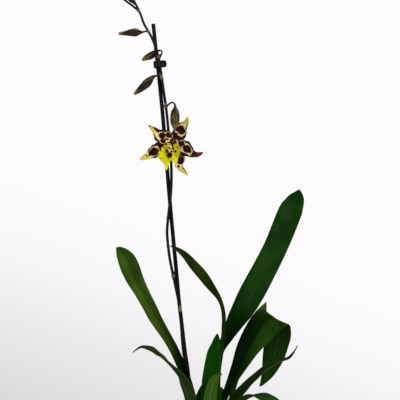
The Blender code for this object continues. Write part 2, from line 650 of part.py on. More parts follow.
def make_plant(collection):
    """Make the bulbs, leaves, stems, buds and flower."""
    for name, shape in BULBS.items():
        make_bulb(name, shape, collection, new_material(f"{name}_skin", (0.16, 0.2, 0.05), 0.5))
    for name, stations in LEAVES.items():
        colour = YOUNG_GREEN if name in ("young_leaf", "front_small_leaf") else GREEN
        make_leaf(name, stations, collection, new_material(f"{name}_skin", colour, 0.4))
    for name, stations in STEMS.items():
        make_stem(name, stations, collection, stem_material(name))
    for name, stations in PETALS.items():
        colour = LIP_YELLOW if name == "lip" else PETAL_CREAM
        make_petal(name, stations, collection, new_material(f"{name}_skin", colour, 0.5))


def main():
    """Build the potted orchid."""
    clear_scene()
    collection = new_collection(OBJECT_NAME)
    cutters = new_collection("cutters")
    make_holder(collection, cutters)
    make_clip(collection, cutters)
    make_plant(collection)


main()
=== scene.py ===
"""Looks of the potted orchid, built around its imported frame.

Every piece is in metres in the frame's own coordinates: the origin is the centre of the pot's base,
+Z is up and the flower faces -Y. Station lists are in millimetres and degrees.
"""

import logging
import math
import random
from dataclasses import dataclass
from enum import Enum
from functools import cache

import bmesh
import bpy
from mathutils import Matrix, Vector


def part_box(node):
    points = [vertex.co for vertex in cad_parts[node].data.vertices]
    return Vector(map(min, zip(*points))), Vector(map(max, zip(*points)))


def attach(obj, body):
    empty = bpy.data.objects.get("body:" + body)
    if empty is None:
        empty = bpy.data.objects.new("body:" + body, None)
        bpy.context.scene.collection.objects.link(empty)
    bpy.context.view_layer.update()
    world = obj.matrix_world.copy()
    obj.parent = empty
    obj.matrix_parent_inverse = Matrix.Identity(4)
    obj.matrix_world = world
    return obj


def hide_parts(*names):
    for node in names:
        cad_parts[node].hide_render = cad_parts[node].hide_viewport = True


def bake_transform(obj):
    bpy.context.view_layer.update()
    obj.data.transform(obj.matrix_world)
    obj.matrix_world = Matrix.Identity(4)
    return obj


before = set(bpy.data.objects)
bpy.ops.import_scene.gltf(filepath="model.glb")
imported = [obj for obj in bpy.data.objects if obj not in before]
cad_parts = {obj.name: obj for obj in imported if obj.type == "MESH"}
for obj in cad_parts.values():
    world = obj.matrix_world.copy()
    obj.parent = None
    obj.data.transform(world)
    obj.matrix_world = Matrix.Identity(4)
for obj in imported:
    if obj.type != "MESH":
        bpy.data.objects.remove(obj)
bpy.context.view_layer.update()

LOG = logging.getLogger("potted_orchid")

MM = 0.001
PLANT = "plant"
CLIP_JAW = "clip_jaw"
BLADE_UV = "blade"
PALE = "pale"
TONE = "tone"
MERGE = 0.001 * MM
SHARP = 35
VEINS = 26
WITHERED = (0.09, 0.075, 0.02)
VECTOR, FLOAT, COLOUR = "NodeSocketVector", "NodeSocketFloat", "NodeSocketColor"

Row = tuple[float, ...]
Colour = tuple[float, float, float]
Cage = bmesh.types.BMesh
Piece = bpy.types.Object
Material = bpy.types.Material
Node = bpy.types.Node
Socket = bpy.types.NodeSocket
Tree = bpy.types.NodeTree

FLOWER_CENTRE = Vector((-48.3, -12.0, 453.0))
CLIP_HINGE = Vector((-63.8, 16.0, 549.0)) * MM
CLIP_UP = Vector((-0.1, 0.0, 1.0)).normalized()
FORWARDS = Vector((0.0, -1.0, 0.0))
BARK_TOP = 97 * MM

# Each jaw's centre line in the clip's own frame: x towards the teeth, y forwards.
FRONT_JAW_LINE = [
    (-6.2, 5.0), (-4.0, 3.8), (-1.0, 2.8), (0.3, 3.7), (2.0, 5.3), (4.6, 5.2), (7.2, 3.6), (8.8, 1.5),
    (8.9, 0.5),
]
BACK_JAW_LINE = [
    (-6.2, -5.0), (-4.0, -3.8), (-1.0, -2.8), (1.6, -3.9), (4.4, -5.5), (7.3, -4.9), (8.9, -2.4),
    (8.9, -0.5),
]


# ---------------------------------------------------------------- curves and meshes


def smooth_rows(stations: list[Row], steps: int) -> list[Row]:
    """Return rows on a Catmull-Rom curve through the stations.

    Args:
        stations: Rows of numbers that the curve passes through.
        steps: Rows made for each span between two stations.

    Returns:
        The rows, with the last station as the last of them.
    """
    first = tuple(2 * a - b for a, b in zip(stations[0], stations[1]))
    last = tuple(2 * a - b for a, b in zip(stations[-1], stations[-2]))
    padded = [first, *stations, last]
    rows = []
    for before, start, end, after in zip(padded, padded[1:], padded[2:], padded[3:]):
        for step in range(steps):
            t = step / steps
            rows.append(tuple(
                b + 0.5 * t * (c - a + t * (2 * a - 5 * b + 4 * c - d + t * (3 * b - a - 3 * c + d)))
                for a, b, c, d in zip(before, start, end, after)
            ))
    rows.append(tuple(stations[-1]))
    return rows


def bell(distance: float, width: float) -> float:
    """Return a smooth bump that is 1 at no distance and fades over the width."""
    return math.exp(-((distance / width) ** 2))


def heading(places: list[Vector], index: int) -> Vector:
    """Return the unit direction of a line of places at one of them.

    Args:
        places: The line's places.
        index: Which of them.

    Returns:
        The unit direction there.
    """
    ahead = places[min(index + 1, len(places) - 1)]
    behind = places[max(index - 1, 0)]
    return (ahead - behind).normalized()


def new_grid(columns: int, rows: int) -> Cage:
    """Return a flat grid from -1 to 1 both ways, with its UV map running from 0 to 1.

    Args:
        columns: Faces across.
        rows: Faces along.

    Returns:
        The grid as a new bmesh.
    """
    cage = bmesh.new()
    layer = cage.loops.layers.uv.new(BLADE_UV)
    bmesh.ops.create_grid(cage, x_segments=columns, y_segments=rows, size=1.0)
    for face in cage.faces:
        for loop in face.loops:
            loop[layer].uv = ((loop.vert.co.x + 1) / 2, (loop.vert.co.y + 1) / 2)
    return cage


def new_mesh(name: str, cage: Cage) -> bpy.types.Mesh:
    """Turn a cage into a mesh.

    Args:
        name: The mesh's name.
        cage: The bmesh, which is freed.

    Returns:
        The new mesh.
    """
    mesh = bpy.data.meshes.new(name)
    cage.to_mesh(mesh)
    cage.free()
    return mesh


def new_item(name: str, data: bpy.types.ID) -> Piece:
    """Put a mesh, camera or lamp in the scene.

    Args:
        name: The object's name.
        data: What the object holds.

    Returns:
        The new object.
    """
    item = bpy.data.objects.new(name, data)
    bpy.context.scene.collection.objects.link(item)
    return item


def settle(
    name: str,
    cage: Cage,
    materials: list[Material],
    stands_for: tuple[str, ...] = (),
    body: str = PLANT,
    twist: tuple[Vector, Vector] | None = None,
) -> Piece:
    """Turn a cage into a finished piece of the plant or the clip.

    Args:
        name: The piece's name.
        cage: The bmesh, which is freed.
        materials: Materials for the piece's slots.
        stands_for: CAD nodes that the piece replaces.
        body: The body that the piece rides on.
        twist: When given, the piece is baked in place and set on no body; its two places are not used.

    Returns:
        The new object, smooth shaded.
    """
    mesh = new_mesh(name, cage)
    mesh.shade_smooth()
    for material in materials:
        mesh.materials.append(material)
    piece = new_item(name, mesh)
    if twist:
        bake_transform(piece)
    else:
        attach(piece, body)
    if stands_for:
        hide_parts(*stands_for)
    LOG.info("%s: %d faces on %s", name, len(mesh.polygons), body)
    return piece


def thicken(piece: Piece, thickness: float, under_slots: bool = False) -> None:
    """Give a sheet a thickness about its middle.

    Args:
        piece: The sheet.
        thickness: The thickness in metres.
        under_slots: Whether the underside takes the next material slot.
    """
    wall = piece.modifiers.new("thickness", "SOLIDIFY")
    wall.thickness = thickness
    wall.offset = 0.0
    wall.use_even_offset = False
    if under_slots:
        wall.material_offset = 1


def soften(piece: Piece, width: float, angle: float = 40.0, segments: int = 2) -> None:
    """Round a piece's sharp edges with a bevel.

    Args:
        piece: The piece.
        width: The bevel's width in metres.
        angle: The least angle of an edge that is rounded, in degrees.
        segments: Faces across each rounded edge.
    """
    bevel = piece.modifiers.new("softened_edges", "BEVEL")
    bevel.width = width
    bevel.segments = segments
    bevel.limit_method = "ANGLE"
    bevel.angle_limit = math.radians(angle)


# ---------------------------------------------------------------- shader nodes


class NodeBench:
    """A node tree with short methods for the nodes that the finishes share."""

    def __init__(self, tree: Tree) -> None:
        """Keep the tree that nodes are added to."""
        self.tree = tree

    def add(self, kind: str, **settings: object) -> Node:
        """Add a node of a kind with the given properties.

        Args:
            kind: The node's type.
            settings: Its properties by name.

        Returns:
            The new node.
        """
        node = self.tree.nodes.new(kind)
        for key, value in settings.items():
            setattr(node, key, value)
        return node

    def feed(self, socket: Socket, value: object) -> None:
        """Link a socket from another, or set its value.

        Args:
            socket: The socket that is fed.
            value: Another socket, or a number, colour or vector.
        """
        if isinstance(value, Socket):
            self.tree.links.new(value, socket)
        elif socket.type == "RGBA":
            socket.default_value = (*value, 1.0)
        else:
            socket.default_value = value

    def calc(self, operation: str, first: object, second: object = 0.0, third: object = 0.0) -> Socket:
        """Return the result of a math node.

        Args:
            operation: The sum that is done.
            first: Its first number or socket.
            second: Its second.
            third: Its third.

        Returns:
            The result's socket.
        """
        node = self.add("ShaderNodeMath", operation=operation)
        for socket, value in zip(node.inputs, (first, second, third)):
            self.feed(socket, value)
        return node.outputs["Value"]

    def times(self, first: object, second: object) -> Socket:
        """Return one value multiplied by another."""
        return self.calc("MULTIPLY", first, second)

    def span(
        self, value: object, low: float, high: float, start: float = 0.0, end: float = 1.0,
    ) -> Socket:
        """Return a value eased from start to end as it goes from low to high.

        Args:
            value: The value that is eased.
            low: Where the easing starts.
            high: Where it ends.
            start: What comes out at low.
            end: What comes out at high.

        Returns:
            The result's socket.
        """
        node = self.add("ShaderNodeMapRange", interpolation_type="SMOOTHSTEP")
        names = ("Value", "From Min", "From Max", "To Min", "To Max")
        for name, number in zip(names, (value, low, high, start, end)):
            self.feed(node.inputs[name], number)
        return node.outputs["Result"]

    def blend(self, share: object, first: object, second: object) -> Socket:
        """Return two colours mixed by a share.

        Args:
            share: How much of the second colour shows.
            first: The first colour.
            second: The second colour.

        Returns:
            The mixed colour's socket.
        """
        node = self.add("ShaderNodeMix", data_type="RGBA")
        self.feed(node.inputs[0], share)
        self.feed(node.inputs[6], first)
        self.feed(node.inputs[7], second)
        return node.outputs[2]

    def tint(self, colour: object, other: object, value: object, *limits: float) -> Socket:
        """Return a colour that eases into another as a value goes from low to high, as in span."""
        return self.blend(self.span(value, *limits), colour, other)

    def split(self, place: Socket) -> tuple[Socket, ...]:
        """Return a vector's three parts.

        Args:
            place: The vector's socket.

        Returns:
            The sockets of x, y and z.
        """
        node = self.add("ShaderNodeSeparateXYZ")
        self.feed(node.inputs[0], place)
        return tuple(node.outputs)

    def join(self, x: object, y: object, z: object = 0.0) -> Socket:
        """Return a vector made of three parts.

        Args:
            x: The first part.
            y: The second part.
            z: The third part.

        Returns:
            The vector's socket.
        """
        node = self.add("ShaderNodeCombineXYZ")
        for socket, value in zip(node.inputs, (x, y, z)):
            self.feed(socket, value)
        return node.outputs[0]

    def noise(self, place: object, scale: object, detail: float = 2.0, rough: float = 0.5) -> Node:
        """Return a noise texture node at a place.

        Args:
            place: Where the noise is read.
            scale: How fine it is.
            detail: How many finer layers it has.
            rough: How strong those layers are.

        Returns:
            The node, whose outputs are a value and a colour.
        """
        node = self.add("ShaderNodeTexNoise")
        names = ("Vector", "Scale", "Detail", "Roughness")
        for name, value in zip(names, (place, scale, detail, rough)):
            self.feed(node.inputs[name], value)
        return node

    def vector(self, operation: str, first: object, second: object) -> Socket:
        """Return the vector or length that a vector math node gives.

        Args:
            operation: The sum that is done.
            first: Its first vector.
            second: Its second vector.

        Returns:
            The result's socket.
        """
        node = self.add("ShaderNodeVectorMath", operation=operation)
        self.feed(node.inputs[0], first)
        self.feed(node.inputs[1], second)
        return node.outputs["Value" if operation == "LENGTH" else "Vector"]

    def place(self) -> Socket:
        """Return Object coordinates."""
        return self.add("ShaderNodeTexCoord").outputs["Object"]

    def effect(self, group: Tree, **inputs: object) -> Socket:
        """Place a shared effect with its own values and return its output.

        Args:
            group: The effect's node group.
            inputs: Its inputs by name.

        Returns:
            The output's socket.
        """
        node = self.add("ShaderNodeGroup", node_tree=group)
        for name, value in inputs.items():
            self.feed(node.inputs[name], value)
        return node.outputs[0]


class EffectBench(NodeBench):
    """A shared effect while it is being built as a node group."""

    def __init__(self, name: str, inputs: dict[str, str], output: str, kind: str = FLOAT) -> None:
        """Make the group with its sockets.

        Args:
            name: The group's name.
            inputs: Each input's name and socket type.
            output: The output's name.
            kind: The output's socket type.
        """
        super().__init__(bpy.data.node_groups.new(name, "ShaderNodeTree"))
        for label, socket_type in inputs.items():
            self.tree.interface.new_socket(label, in_out="INPUT", socket_type=socket_type)
        self.tree.interface.new_socket(output, in_out="OUTPUT", socket_type=kind)
        self.given = self.add("NodeGroupInput").outputs
        self.result = self.add("NodeGroupOutput").inputs[0]

    def done(self, value: Socket) -> Tree:
        """Link the group's output and return the finished group."""
        self.feed(self.result, value)
        return self.tree


class FinishBench(NodeBench):
    """A material's node tree around its Principled shader."""

    def __init__(self, name: str, roughness: float, specular: float = 0.5, **fixed: object) -> None:
        """Make the material with the constants of its shader.

        Args:
            name: The material's name.
            roughness: How dull the surface is.
            specular: How strongly it mirrors, 0.5 for common plastic.
            fixed: Other shader sockets by name, with _ for a space.
        """
        self.material = bpy.data.materials.new(name)
        self.material.use_nodes = True
        super().__init__(self.material.node_tree)
        self.shader = self.tree.nodes["Principled BSDF"]
        self.shader.inputs["Roughness"].default_value = roughness
        self.shader.inputs["Specular IOR Level"].default_value = specular
        for label, value in fixed.items():
            self.feed(self.shader.inputs[label.replace("_", " ")], value)

    def surface_map(self) -> Socket:
        """Return the piece's own UV map."""
        return self.add("ShaderNodeUVMap", uv_map=BLADE_UV).outputs[0]

    def ragged(self, place: Socket, scale: float, amount: float) -> Socket:
        """Return a place shifted a little by clouds, so that what is drawn there has a ragged edge.

        Args:
            place: The place without the shift.
            scale: How fine the clouds are.
            amount: How far they shift it.

        Returns:
            The shifted place.
        """
        clouds = self.effect(cloudy_colours(), Place=place, Scale=scale)
        centred = self.vector("SUBTRACT", clouds, (0.5, 0.5, 0.5))
        return self.vector("ADD", place, self.vector("MULTIPLY", centred, (amount, amount, 0.0)))

    def attribute(self, name: str) -> Socket:
        """Return a value stored on the piece's points."""
        return self.add("ShaderNodeAttribute", attribute_name=name).outputs["Fac"]

    def dress(
        self, colour: object, height: object = None, distance: float = 0.1 * MM, strength: float = 0.5,
        roughness: object = None,
    ) -> Material:
        """Link the colour, relief and roughness to the shader.

        Args:
            colour: The base colour.
            height: The relief, from 0 to 1.
            distance: The relief's depth in metres.
            strength: How strongly the relief shows.
            roughness: A roughness that varies over the surface.

        Returns:
            The finished material.
        """
        self.feed(self.shader.inputs["Base Color"], colour)
        if roughness is not None:
            self.feed(self.shader.inputs["Roughness"], roughness)
        if height is not None:
            bump = self.add("ShaderNodeBump")
            bump.inputs["Distance"].default_value = distance
            bump.inputs["Strength"].default_value = strength
            self.feed(bump.inputs["Height"], height)
            self.feed(self.shader.inputs["Normal"], bump.outputs[0])
        return self.material


@cache
def lengthwise_streaks() -> Tree:
    """Return the group that draws fine streaks running along a leaf, bud or stem.

    Returns:
        The node group.
    """
    inputs = {"Place": VECTOR, "Across": FLOAT, "Along": FLOAT}
    bench = EffectBench("lengthwise_streaks", inputs, "Streak")
    across, along, _ = bench.split(bench.given["Place"])
    across = bench.times(across, bench.given["Across"])
    stretched = bench.join(across, bench.times(along, bench.given["Along"]))
    return bench.done(bench.span(bench.noise(stretched, 1.0, 3.0).outputs[0], 0.32, 0.68))


@cache
def drifting_patches() -> Tree:
    """Return the group that varies a tone in soft patches through the piece.

    Returns:
        The node group.
    """
    bench = EffectBench("drifting_patches", {"Scale": FLOAT, "Seed": FLOAT}, "Patch")
    place = bench.vector("ADD", bench.place(), bench.join(bench.given["Seed"], 0.0))
    return bench.done(bench.span(bench.noise(place, bench.given["Scale"]).outputs[0], 0.35, 0.65))


@cache
def fine_grain() -> Tree:
    """Return the group that gives a fine, even grain for a surface's relief.

    Returns:
        The node group.
    """
    bench = EffectBench("fine_grain", {"Scale": FLOAT}, "Grain")
    return bench.done(bench.noise(bench.place(), bench.given["Scale"], 4.0, 0.6).outputs[0])


@cache
def cloudy_colours() -> Tree:
    """Return the group that gives a cloudy colour, whose red and green make a pattern's edge ragged.

    Returns:
        The node group.
    """
    bench = EffectBench("cloudy_colours", {"Place": VECTOR, "Scale": FLOAT}, "Clouds", COLOUR)
    return bench.done(bench.noise(bench.given["Place"], bench.given["Scale"], 3.0).outputs[1])


@cache
def round_blotch() -> Tree:
    """Return the group that masks one oval blotch of a petal's pattern.

    Returns:
        The node group.
    """
    inputs = {"Place": VECTOR, "Centre": VECTOR, "Size": VECTOR}
    bench = EffectBench("round_blotch", inputs, "Mask")
    offset = bench.vector("SUBTRACT", bench.given["Place"], bench.given["Centre"])
    scaled = bench.vector("DIVIDE", offset, bench.given["Size"])
    return bench.done(bench.span(bench.vector("LENGTH", scaled, (0, 0, 0)), 1.12, 1.30, 1.0, 0.0))


@cache
def distance_from_midrib() -> Tree:
    """Return the group that measures how far a place is from a blade's midrib, up to 1 at its edge.

    Returns:
        The node group.
    """
    bench = EffectBench("distance_from_midrib", {"Place": VECTOR}, "Distance")
    across, _, _ = bench.split(bench.given["Place"])
    centred = bench.calc("ABSOLUTE", bench.calc("SUBTRACT", across, 0.5))
    return bench.done(bench.times(centred, 2.0))


# ---------------------------------------------------------------- finishes


@dataclass(frozen=True)
class LeafFinish:
    """Waxy strap leaf: veined green above, duller and paler beneath."""

    deep: Colour
    light: Colour
    rib: Colour
    under: Colour
    # The base colour is painted shade, near black: it darkens the foot of the leaf, where the leaves
    # crowd together, and the shaded half.
    base: Colour
    rib_strength: float = 0.5
    seed: float = 0.0
    # Up to where the painted shade at the foot stays full, and where it has faded out.
    base_shade_reach: float = 0.45
    base_shade_hold: float = 0.08
    # How strongly the left and right halves are darkened: painted shade where the fold turns a half
    # from the light.
    left_half_painted_shade: float = 0.0
    right_half_painted_shade: float = 0.0
    edge: float = 0.35

    def above(self, name: str) -> Material:
        """Return the material of the upper side.

        Args:
            name: The material's name.

        Returns:
            The material.
        """
        bench = FinishBench(name, 0.6, 0.01)
        place = bench.surface_map()
        across, along, _ = bench.split(place)
        off = bench.effect(distance_from_midrib(), Place=place)
        streak = bench.effect(lengthwise_streaks(), Place=place, Across=42.0, Along=2.4)
        patch = bench.effect(drifting_patches(), Scale=26.0, Seed=self.seed)
        tone = bench.calc("MULTIPLY_ADD", streak, 0.34, bench.times(patch, 0.62))
        colour = bench.blend(tone, self.deep, self.light)
        # The midrib line: lighter than the blade on most leaves; the sunlit finish gives it a darker
        # colour, painted shade in the crease of the fold.
        rib = bench.span(off, 0.015, 0.075, 1.0, 0.0)
        rib = bench.times(rib, bench.span(along, 0.0, 1.0, 1.0, 0.55))
        colour = bench.blend(bench.times(rib, self.rib_strength), colour, self.rib)
        # Painted shade at the foot: the blade darkens to the base colour where the leaves crowd
        # together at the bark.
        foot = bench.span(along, self.base_shade_hold, self.base_shade_reach, 0.95, 0.0)
        colour = bench.blend(foot, colour, self.base)
        # Painted shade: one half of the blade is darkened towards the base colour, less towards the
        # tip.
        shade = bench.span(across, 0.45, 0.55, self.left_half_painted_shade, self.right_half_painted_shade)
        shade = bench.times(shade, bench.span(along, 0.40, 0.56, 1.0, 0.3))
        colour = bench.blend(shade, colour, self.base)
        colour = bench.tint(colour, self.rib, off, 0.90, 1.0, 0.0, self.edge)
        colour = bench.tint(colour, WITHERED, along, 0.975, 1.0, 0.0, 0.7)
        veins = self.veins(bench, across, streak)
        return bench.dress(colour, veins, 0.22 * MM, 0.55, bench.span(patch, 0, 1, 0.44, 0.58))

    def beneath(self, name: str) -> Material:
        """Return the material of the underside.

        Args:
            name: The material's name.

        Returns:
            The material.
        """
        bench = FinishBench(name, 0.65, 0.02)
        place = bench.surface_map()
        across, along, _ = bench.split(place)
        off = bench.effect(distance_from_midrib(), Place=place)
        streak = bench.effect(lengthwise_streaks(), Place=place, Across=34.0, Along=2.0)
        colour = bench.blend(bench.times(streak, 0.6), self.under, self.light)
        rib = bench.span(off, 0.02, 0.09, 0.8, 0.0)
        colour = bench.blend(rib, colour, self.rib)
        # Painted shade towards the foot of the underside.
        colour = bench.tint(colour, self.base, along, 0.0, 0.2, 0.85, 0.0)
        return bench.dress(colour, self.veins(bench, across, streak), 0.26 * MM, 0.6)

    @staticmethod
    def veins(bench: NodeBench, across: Socket, streak: Socket) -> Socket:
        """Return the relief of the leaf's parallel veins."""
        wave = bench.calc("SINE", bench.times(across, VEINS * math.tau))
        return bench.calc("MULTIPLY_ADD", wave, 0.28, bench.times(streak, 0.5))


class Foliage(Enum):
    """The leaves' finishes, by age and light."""

    # Its rib colour is darker than the blade: painted shade in the crease of the fold. Its right half
    # carries painted shade as well.
    SUNLIT = LeafFinish(
        (0.019, 0.050, 0.003), (0.056, 0.115, 0.011), (0.006, 0.020, 0.003), (0.03, 0.06, 0.012),
        (0.0015, 0.007, 0.0008), 0.6, 1.0, 0.46, 0.2, right_half_painted_shade=0.5,
    )
    DEEP = LeafFinish(
        (0.0025, 0.018, 0.0015), (0.011, 0.045, 0.005), (0.020, 0.060, 0.010), (0.007, 0.025, 0.002),
        (0.0004, 0.005, 0.0003), 0.35, 2.0, 0.62, 0.22, edge=0.2,
    )
    # The folded leaf's left half carries strong painted shade.
    FOLDED = LeafFinish(
        (0.003, 0.018, 0.001), (0.016, 0.046, 0.004), (0.018, 0.055, 0.008), (0.005, 0.022, 0.001),
        (0.0002, 0.0045, 0.0002), 0.25, 7.0, 0.24, left_half_painted_shade=0.96, edge=0.3,
    )
    ARCHING = LeafFinish(
        (0.003, 0.010, 0.001), (0.018, 0.034, 0.004), (0.035, 0.060, 0.012), (0.008, 0.018, 0.003),
        (0.003, 0.009, 0.001), 0.4, 3.0, 0.45,
    )
    DULL = LeafFinish(
        (0.003, 0.012, 0.0015), (0.018, 0.038, 0.008), (0.06, 0.09, 0.035), (0.012, 0.024, 0.005),
        (0.002, 0.009, 0.001), 0.3, 4.0, 0.5, edge=0.9,
    )
    BROAD = LeafFinish(
        (0.006, 0.026, 0.002), (0.024, 0.062, 0.007), (0.04, 0.085, 0.02), (0.012, 0.030, 0.004),
        (0.004, 0.018, 0.001), 0.3, 8.0, 0.3, edge=0.2,
    )
    # The young leaf's right half carries light painted shade.
    YOUNG = LeafFinish(
        (0.0006, 0.020, 0.0003), (0.006, 0.060, 0.0015), (0.02, 0.09, 0.006), (0.006, 0.04, 0.002),
        (0.004, 0.026, 0.001), 0.3, 5.0, 0.3, right_half_painted_shade=0.3,
    )
    FRESH = LeafFinish(
        (0.012, 0.044, 0.001), (0.048, 0.108, 0.008), (0.07, 0.14, 0.025), (0.025, 0.065, 0.008),
        (0.014, 0.036, 0.003), 0.3, 6.0, 0.3,
    )


@dataclass(frozen=True)
class Blotch:
    """An oval blotch on a petal: centre and half sizes across and along, and its cream ring."""

    across: float
    along: float
    width: float
    length: float
    ring: float = 0.0


@dataclass(frozen=True)
class PetalFinish:
    """Cream petal with dark maroon blotches, a dark crinkled margin and a yellow tip."""

    blotches: tuple[Blotch, ...]
    margin_from: float = 0.0
    margin_to: float = 0.72
    tip: Colour = (0.50, 0.44, 0.06)
    ground: Colour = (0.74, 0.60, 0.28)
    maroon: Colour = (0.012, 0.0008, 0.0012)
    redder: Colour = (0.055, 0.006, 0.004)
    margin_width: float = 0.40
    streaks: Colour = (0.55, 0.38, 0.09)
    tip_red: Colour = (0.13, 0.018, 0.010)
    back_light: Colour = (0.34, 0.27, 0.08)
    back_warm: Colour = (0.24, 0.15, 0.05)
    back_dark: Colour = (0.07, 0.012, 0.01)

    def above(self, name: str) -> Material:
        """Return the material of the petal's face.

        Args:
            name: The material's name.

        Returns:
            The material.
        """
        bench = FinishBench(name, 0.55, 0.10)
        place = bench.surface_map()
        ragged = bench.ragged(place, 9.0, 0.13)
        _, along, _ = bench.split(place)
        mask = self.pattern(bench, ragged, along)
        streak = bench.effect(lengthwise_streaks(), Place=place, Across=22.0, Along=3.0)
        ground = bench.blend(bench.span(along, 0.55, 0.85), self.ground, self.tip)
        ground = bench.blend(bench.times(streak, 0.25), ground, self.streaks)
        patch = bench.effect(drifting_patches(), Scale=160.0, Seed=2.0)
        dark = bench.blend(bench.times(patch, 0.45), self.maroon, self.redder)
        dark = bench.blend(bench.span(along, 0.68, 0.84, 0.0, 0.7), dark, self.tip_red)
        colour = bench.blend(mask, ground, dark)
        height = bench.calc("MULTIPLY_ADD", mask, 0.5, bench.times(streak, 0.5))
        return bench.dress(colour, height, 0.18 * MM, 0.6, bench.span(mask, 0.0, 1.0, 0.5, 0.36))

    def beneath(self, name: str) -> Material:
        """Return the material of the petal's back, where the pattern shows through faintly.

        Args:
            name: The material's name.

        Returns:
            The material.
        """
        bench = FinishBench(name, 0.55, 0.3)
        place = bench.surface_map()
        ragged = bench.ragged(place, 9.0, 0.13)
        _, along, _ = bench.split(place)
        mask = bench.times(self.pattern(bench, ragged, along), 0.6)
        streak = bench.effect(lengthwise_streaks(), Place=place, Across=16.0, Along=2.0)
        ground = bench.blend(streak, self.back_light, self.back_warm)
        return bench.dress(bench.blend(mask, ground, self.back_dark), streak, 0.15 * MM, 0.5)

    def pattern(self, bench: NodeBench, place: Socket, along: Socket) -> Socket:
        """Return the mask of the blotches and the dark margin.

        Args:
            bench: The material's bench.
            place: The ragged place that the pattern is drawn at.
            along: How far along the petal a place is.

        Returns:
            The mask, 1 where the petal is dark.
        """
        off = bench.effect(distance_from_midrib(), Place=place)
        edge = bench.span(off, 1.0 - self.margin_width, 1.06 - self.margin_width)
        begins = bench.span(along, self.margin_from, self.margin_from + 0.06)
        ends = bench.span(along, self.margin_to, self.margin_to + 0.12, 1.0, 0.0)
        mask = bench.times(edge, bench.times(begins, ends))
        plain = [blotch for blotch in self.blotches if not blotch.ring]
        ringed = [blotch for blotch in self.blotches if blotch.ring]
        for blotch in plain:
            mask = bench.calc("MAXIMUM", mask, self.oval(bench, place, blotch, 0.0))
        for blotch in ringed:
            mask = bench.calc("SUBTRACT", mask, self.oval(bench, place, blotch, blotch.ring))
        for blotch in ringed:
            mask = bench.calc("MAXIMUM", mask, self.oval(bench, place, blotch, 0.0))
        return mask

    @staticmethod
    def oval(bench: NodeBench, place: Socket, blotch: Blotch, more: float) -> Socket:
        """Return the mask of a blotch, grown by more all round.

        Args:
            bench: The material's bench.
            place: The ragged place.
            blotch: The blotch.
            more: How much it is grown.

        Returns:
            The mask.
        """
        centre = (blotch.across, blotch.along, 0.0)
        size = (blotch.width + 1.6 * more, blotch.length + more, 1.0)
        return bench.effect(round_blotch(), Place=place, Centre=centre, Size=size)


@dataclass(frozen=True)
class StemFinish:
    """Skin of the spike: purple-brown with fine streaks, pale at its nodes."""

    dark: Colour = (0.003, 0.0015, 0.0015)
    warm: Colour = (0.010, 0.0042, 0.0038)
    pale: Colour = (0.15, 0.12, 0.08)

    def skin(self, name: str) -> Material:
        """Return the stem's material, which reads the pale attribute of its points.

        Args:
            name: The material's name.

        Returns:
            The material.
        """
        bench = FinishBench(name, 0.5, 0.12)
        place = bench.surface_map()
        streak = bench.effect(lengthwise_streaks(), Place=place, Across=7.0, Along=60.0)
        patch = bench.effect(drifting_patches(), Scale=55.0, Seed=3.0)
        tone = bench.calc("MULTIPLY_ADD", streak, 0.4, bench.times(patch, 0.5))
        colour = bench.blend(bench.attribute(PALE), bench.blend(tone, self.dark, self.warm), self.pale)
        return bench.dress(colour, bench.effect(fine_grain(), Scale=900.0), 0.12 * MM, 0.5)


@dataclass(frozen=True)
class BudFinish:
    """Skin of a bud: olive brown mottled with maroon, on a dark stalk, with a yellowish tip."""

    neck: float
    darkness: float = 0.0
    olive: Colour = (0.022, 0.012, 0.004)
    bright: Colour = (0.13, 0.10, 0.036)
    maroon: Colour = (0.006, 0.001, 0.001)
    joint: Colour = (0.12, 0.12, 0.08)
    stalk: Colour = (0.008, 0.005, 0.003)
    tip: Colour = (0.20, 0.16, 0.035)

    def skin(self, name: str) -> Material:
        """Return the bud's material, whose parts follow its length.

        Args:
            name: The material's name.

        Returns:
            The material.
        """
        bench = FinishBench(name, 0.5, 0.12)
        place = bench.surface_map()
        _, along, _ = bench.split(place)
        streak = bench.effect(lengthwise_streaks(), Place=place, Across=15.0, Along=2.2)
        colour = bench.blend(streak, self.olive, self.bright)
        ragged = bench.ragged(place, 5.0, 0.2)
        across, length, _ = bench.split(ragged)
        wide, long = bench.times(across, 12.0), bench.times(length, 6.0)
        mottle = bench.noise(bench.join(wide, long), 1.0)
        blotch = bench.span(mottle.outputs[0], 0.46 - self.darkness, 0.53 - self.darkness)
        colour = bench.blend(bench.times(blotch, 0.88), colour, self.maroon)
        colour = bench.tint(colour, self.tip, along, 0.82, 0.95, 0.0, 0.85)
        stalk = bench.span(along, self.neck - 0.06, self.neck + 0.03, 1.0, 0.0)
        colour = bench.blend(stalk, colour, self.stalk)
        colour = bench.tint(colour, self.joint, along, 0.02, 0.12, 0.55, 0.0)
        grain = bench.effect(fine_grain(), Scale=1100.0)
        height = bench.calc("MULTIPLY_ADD", streak, 0.6, bench.times(grain, 0.5))
        return bench.dress(colour, height, 0.15 * MM, 0.55)


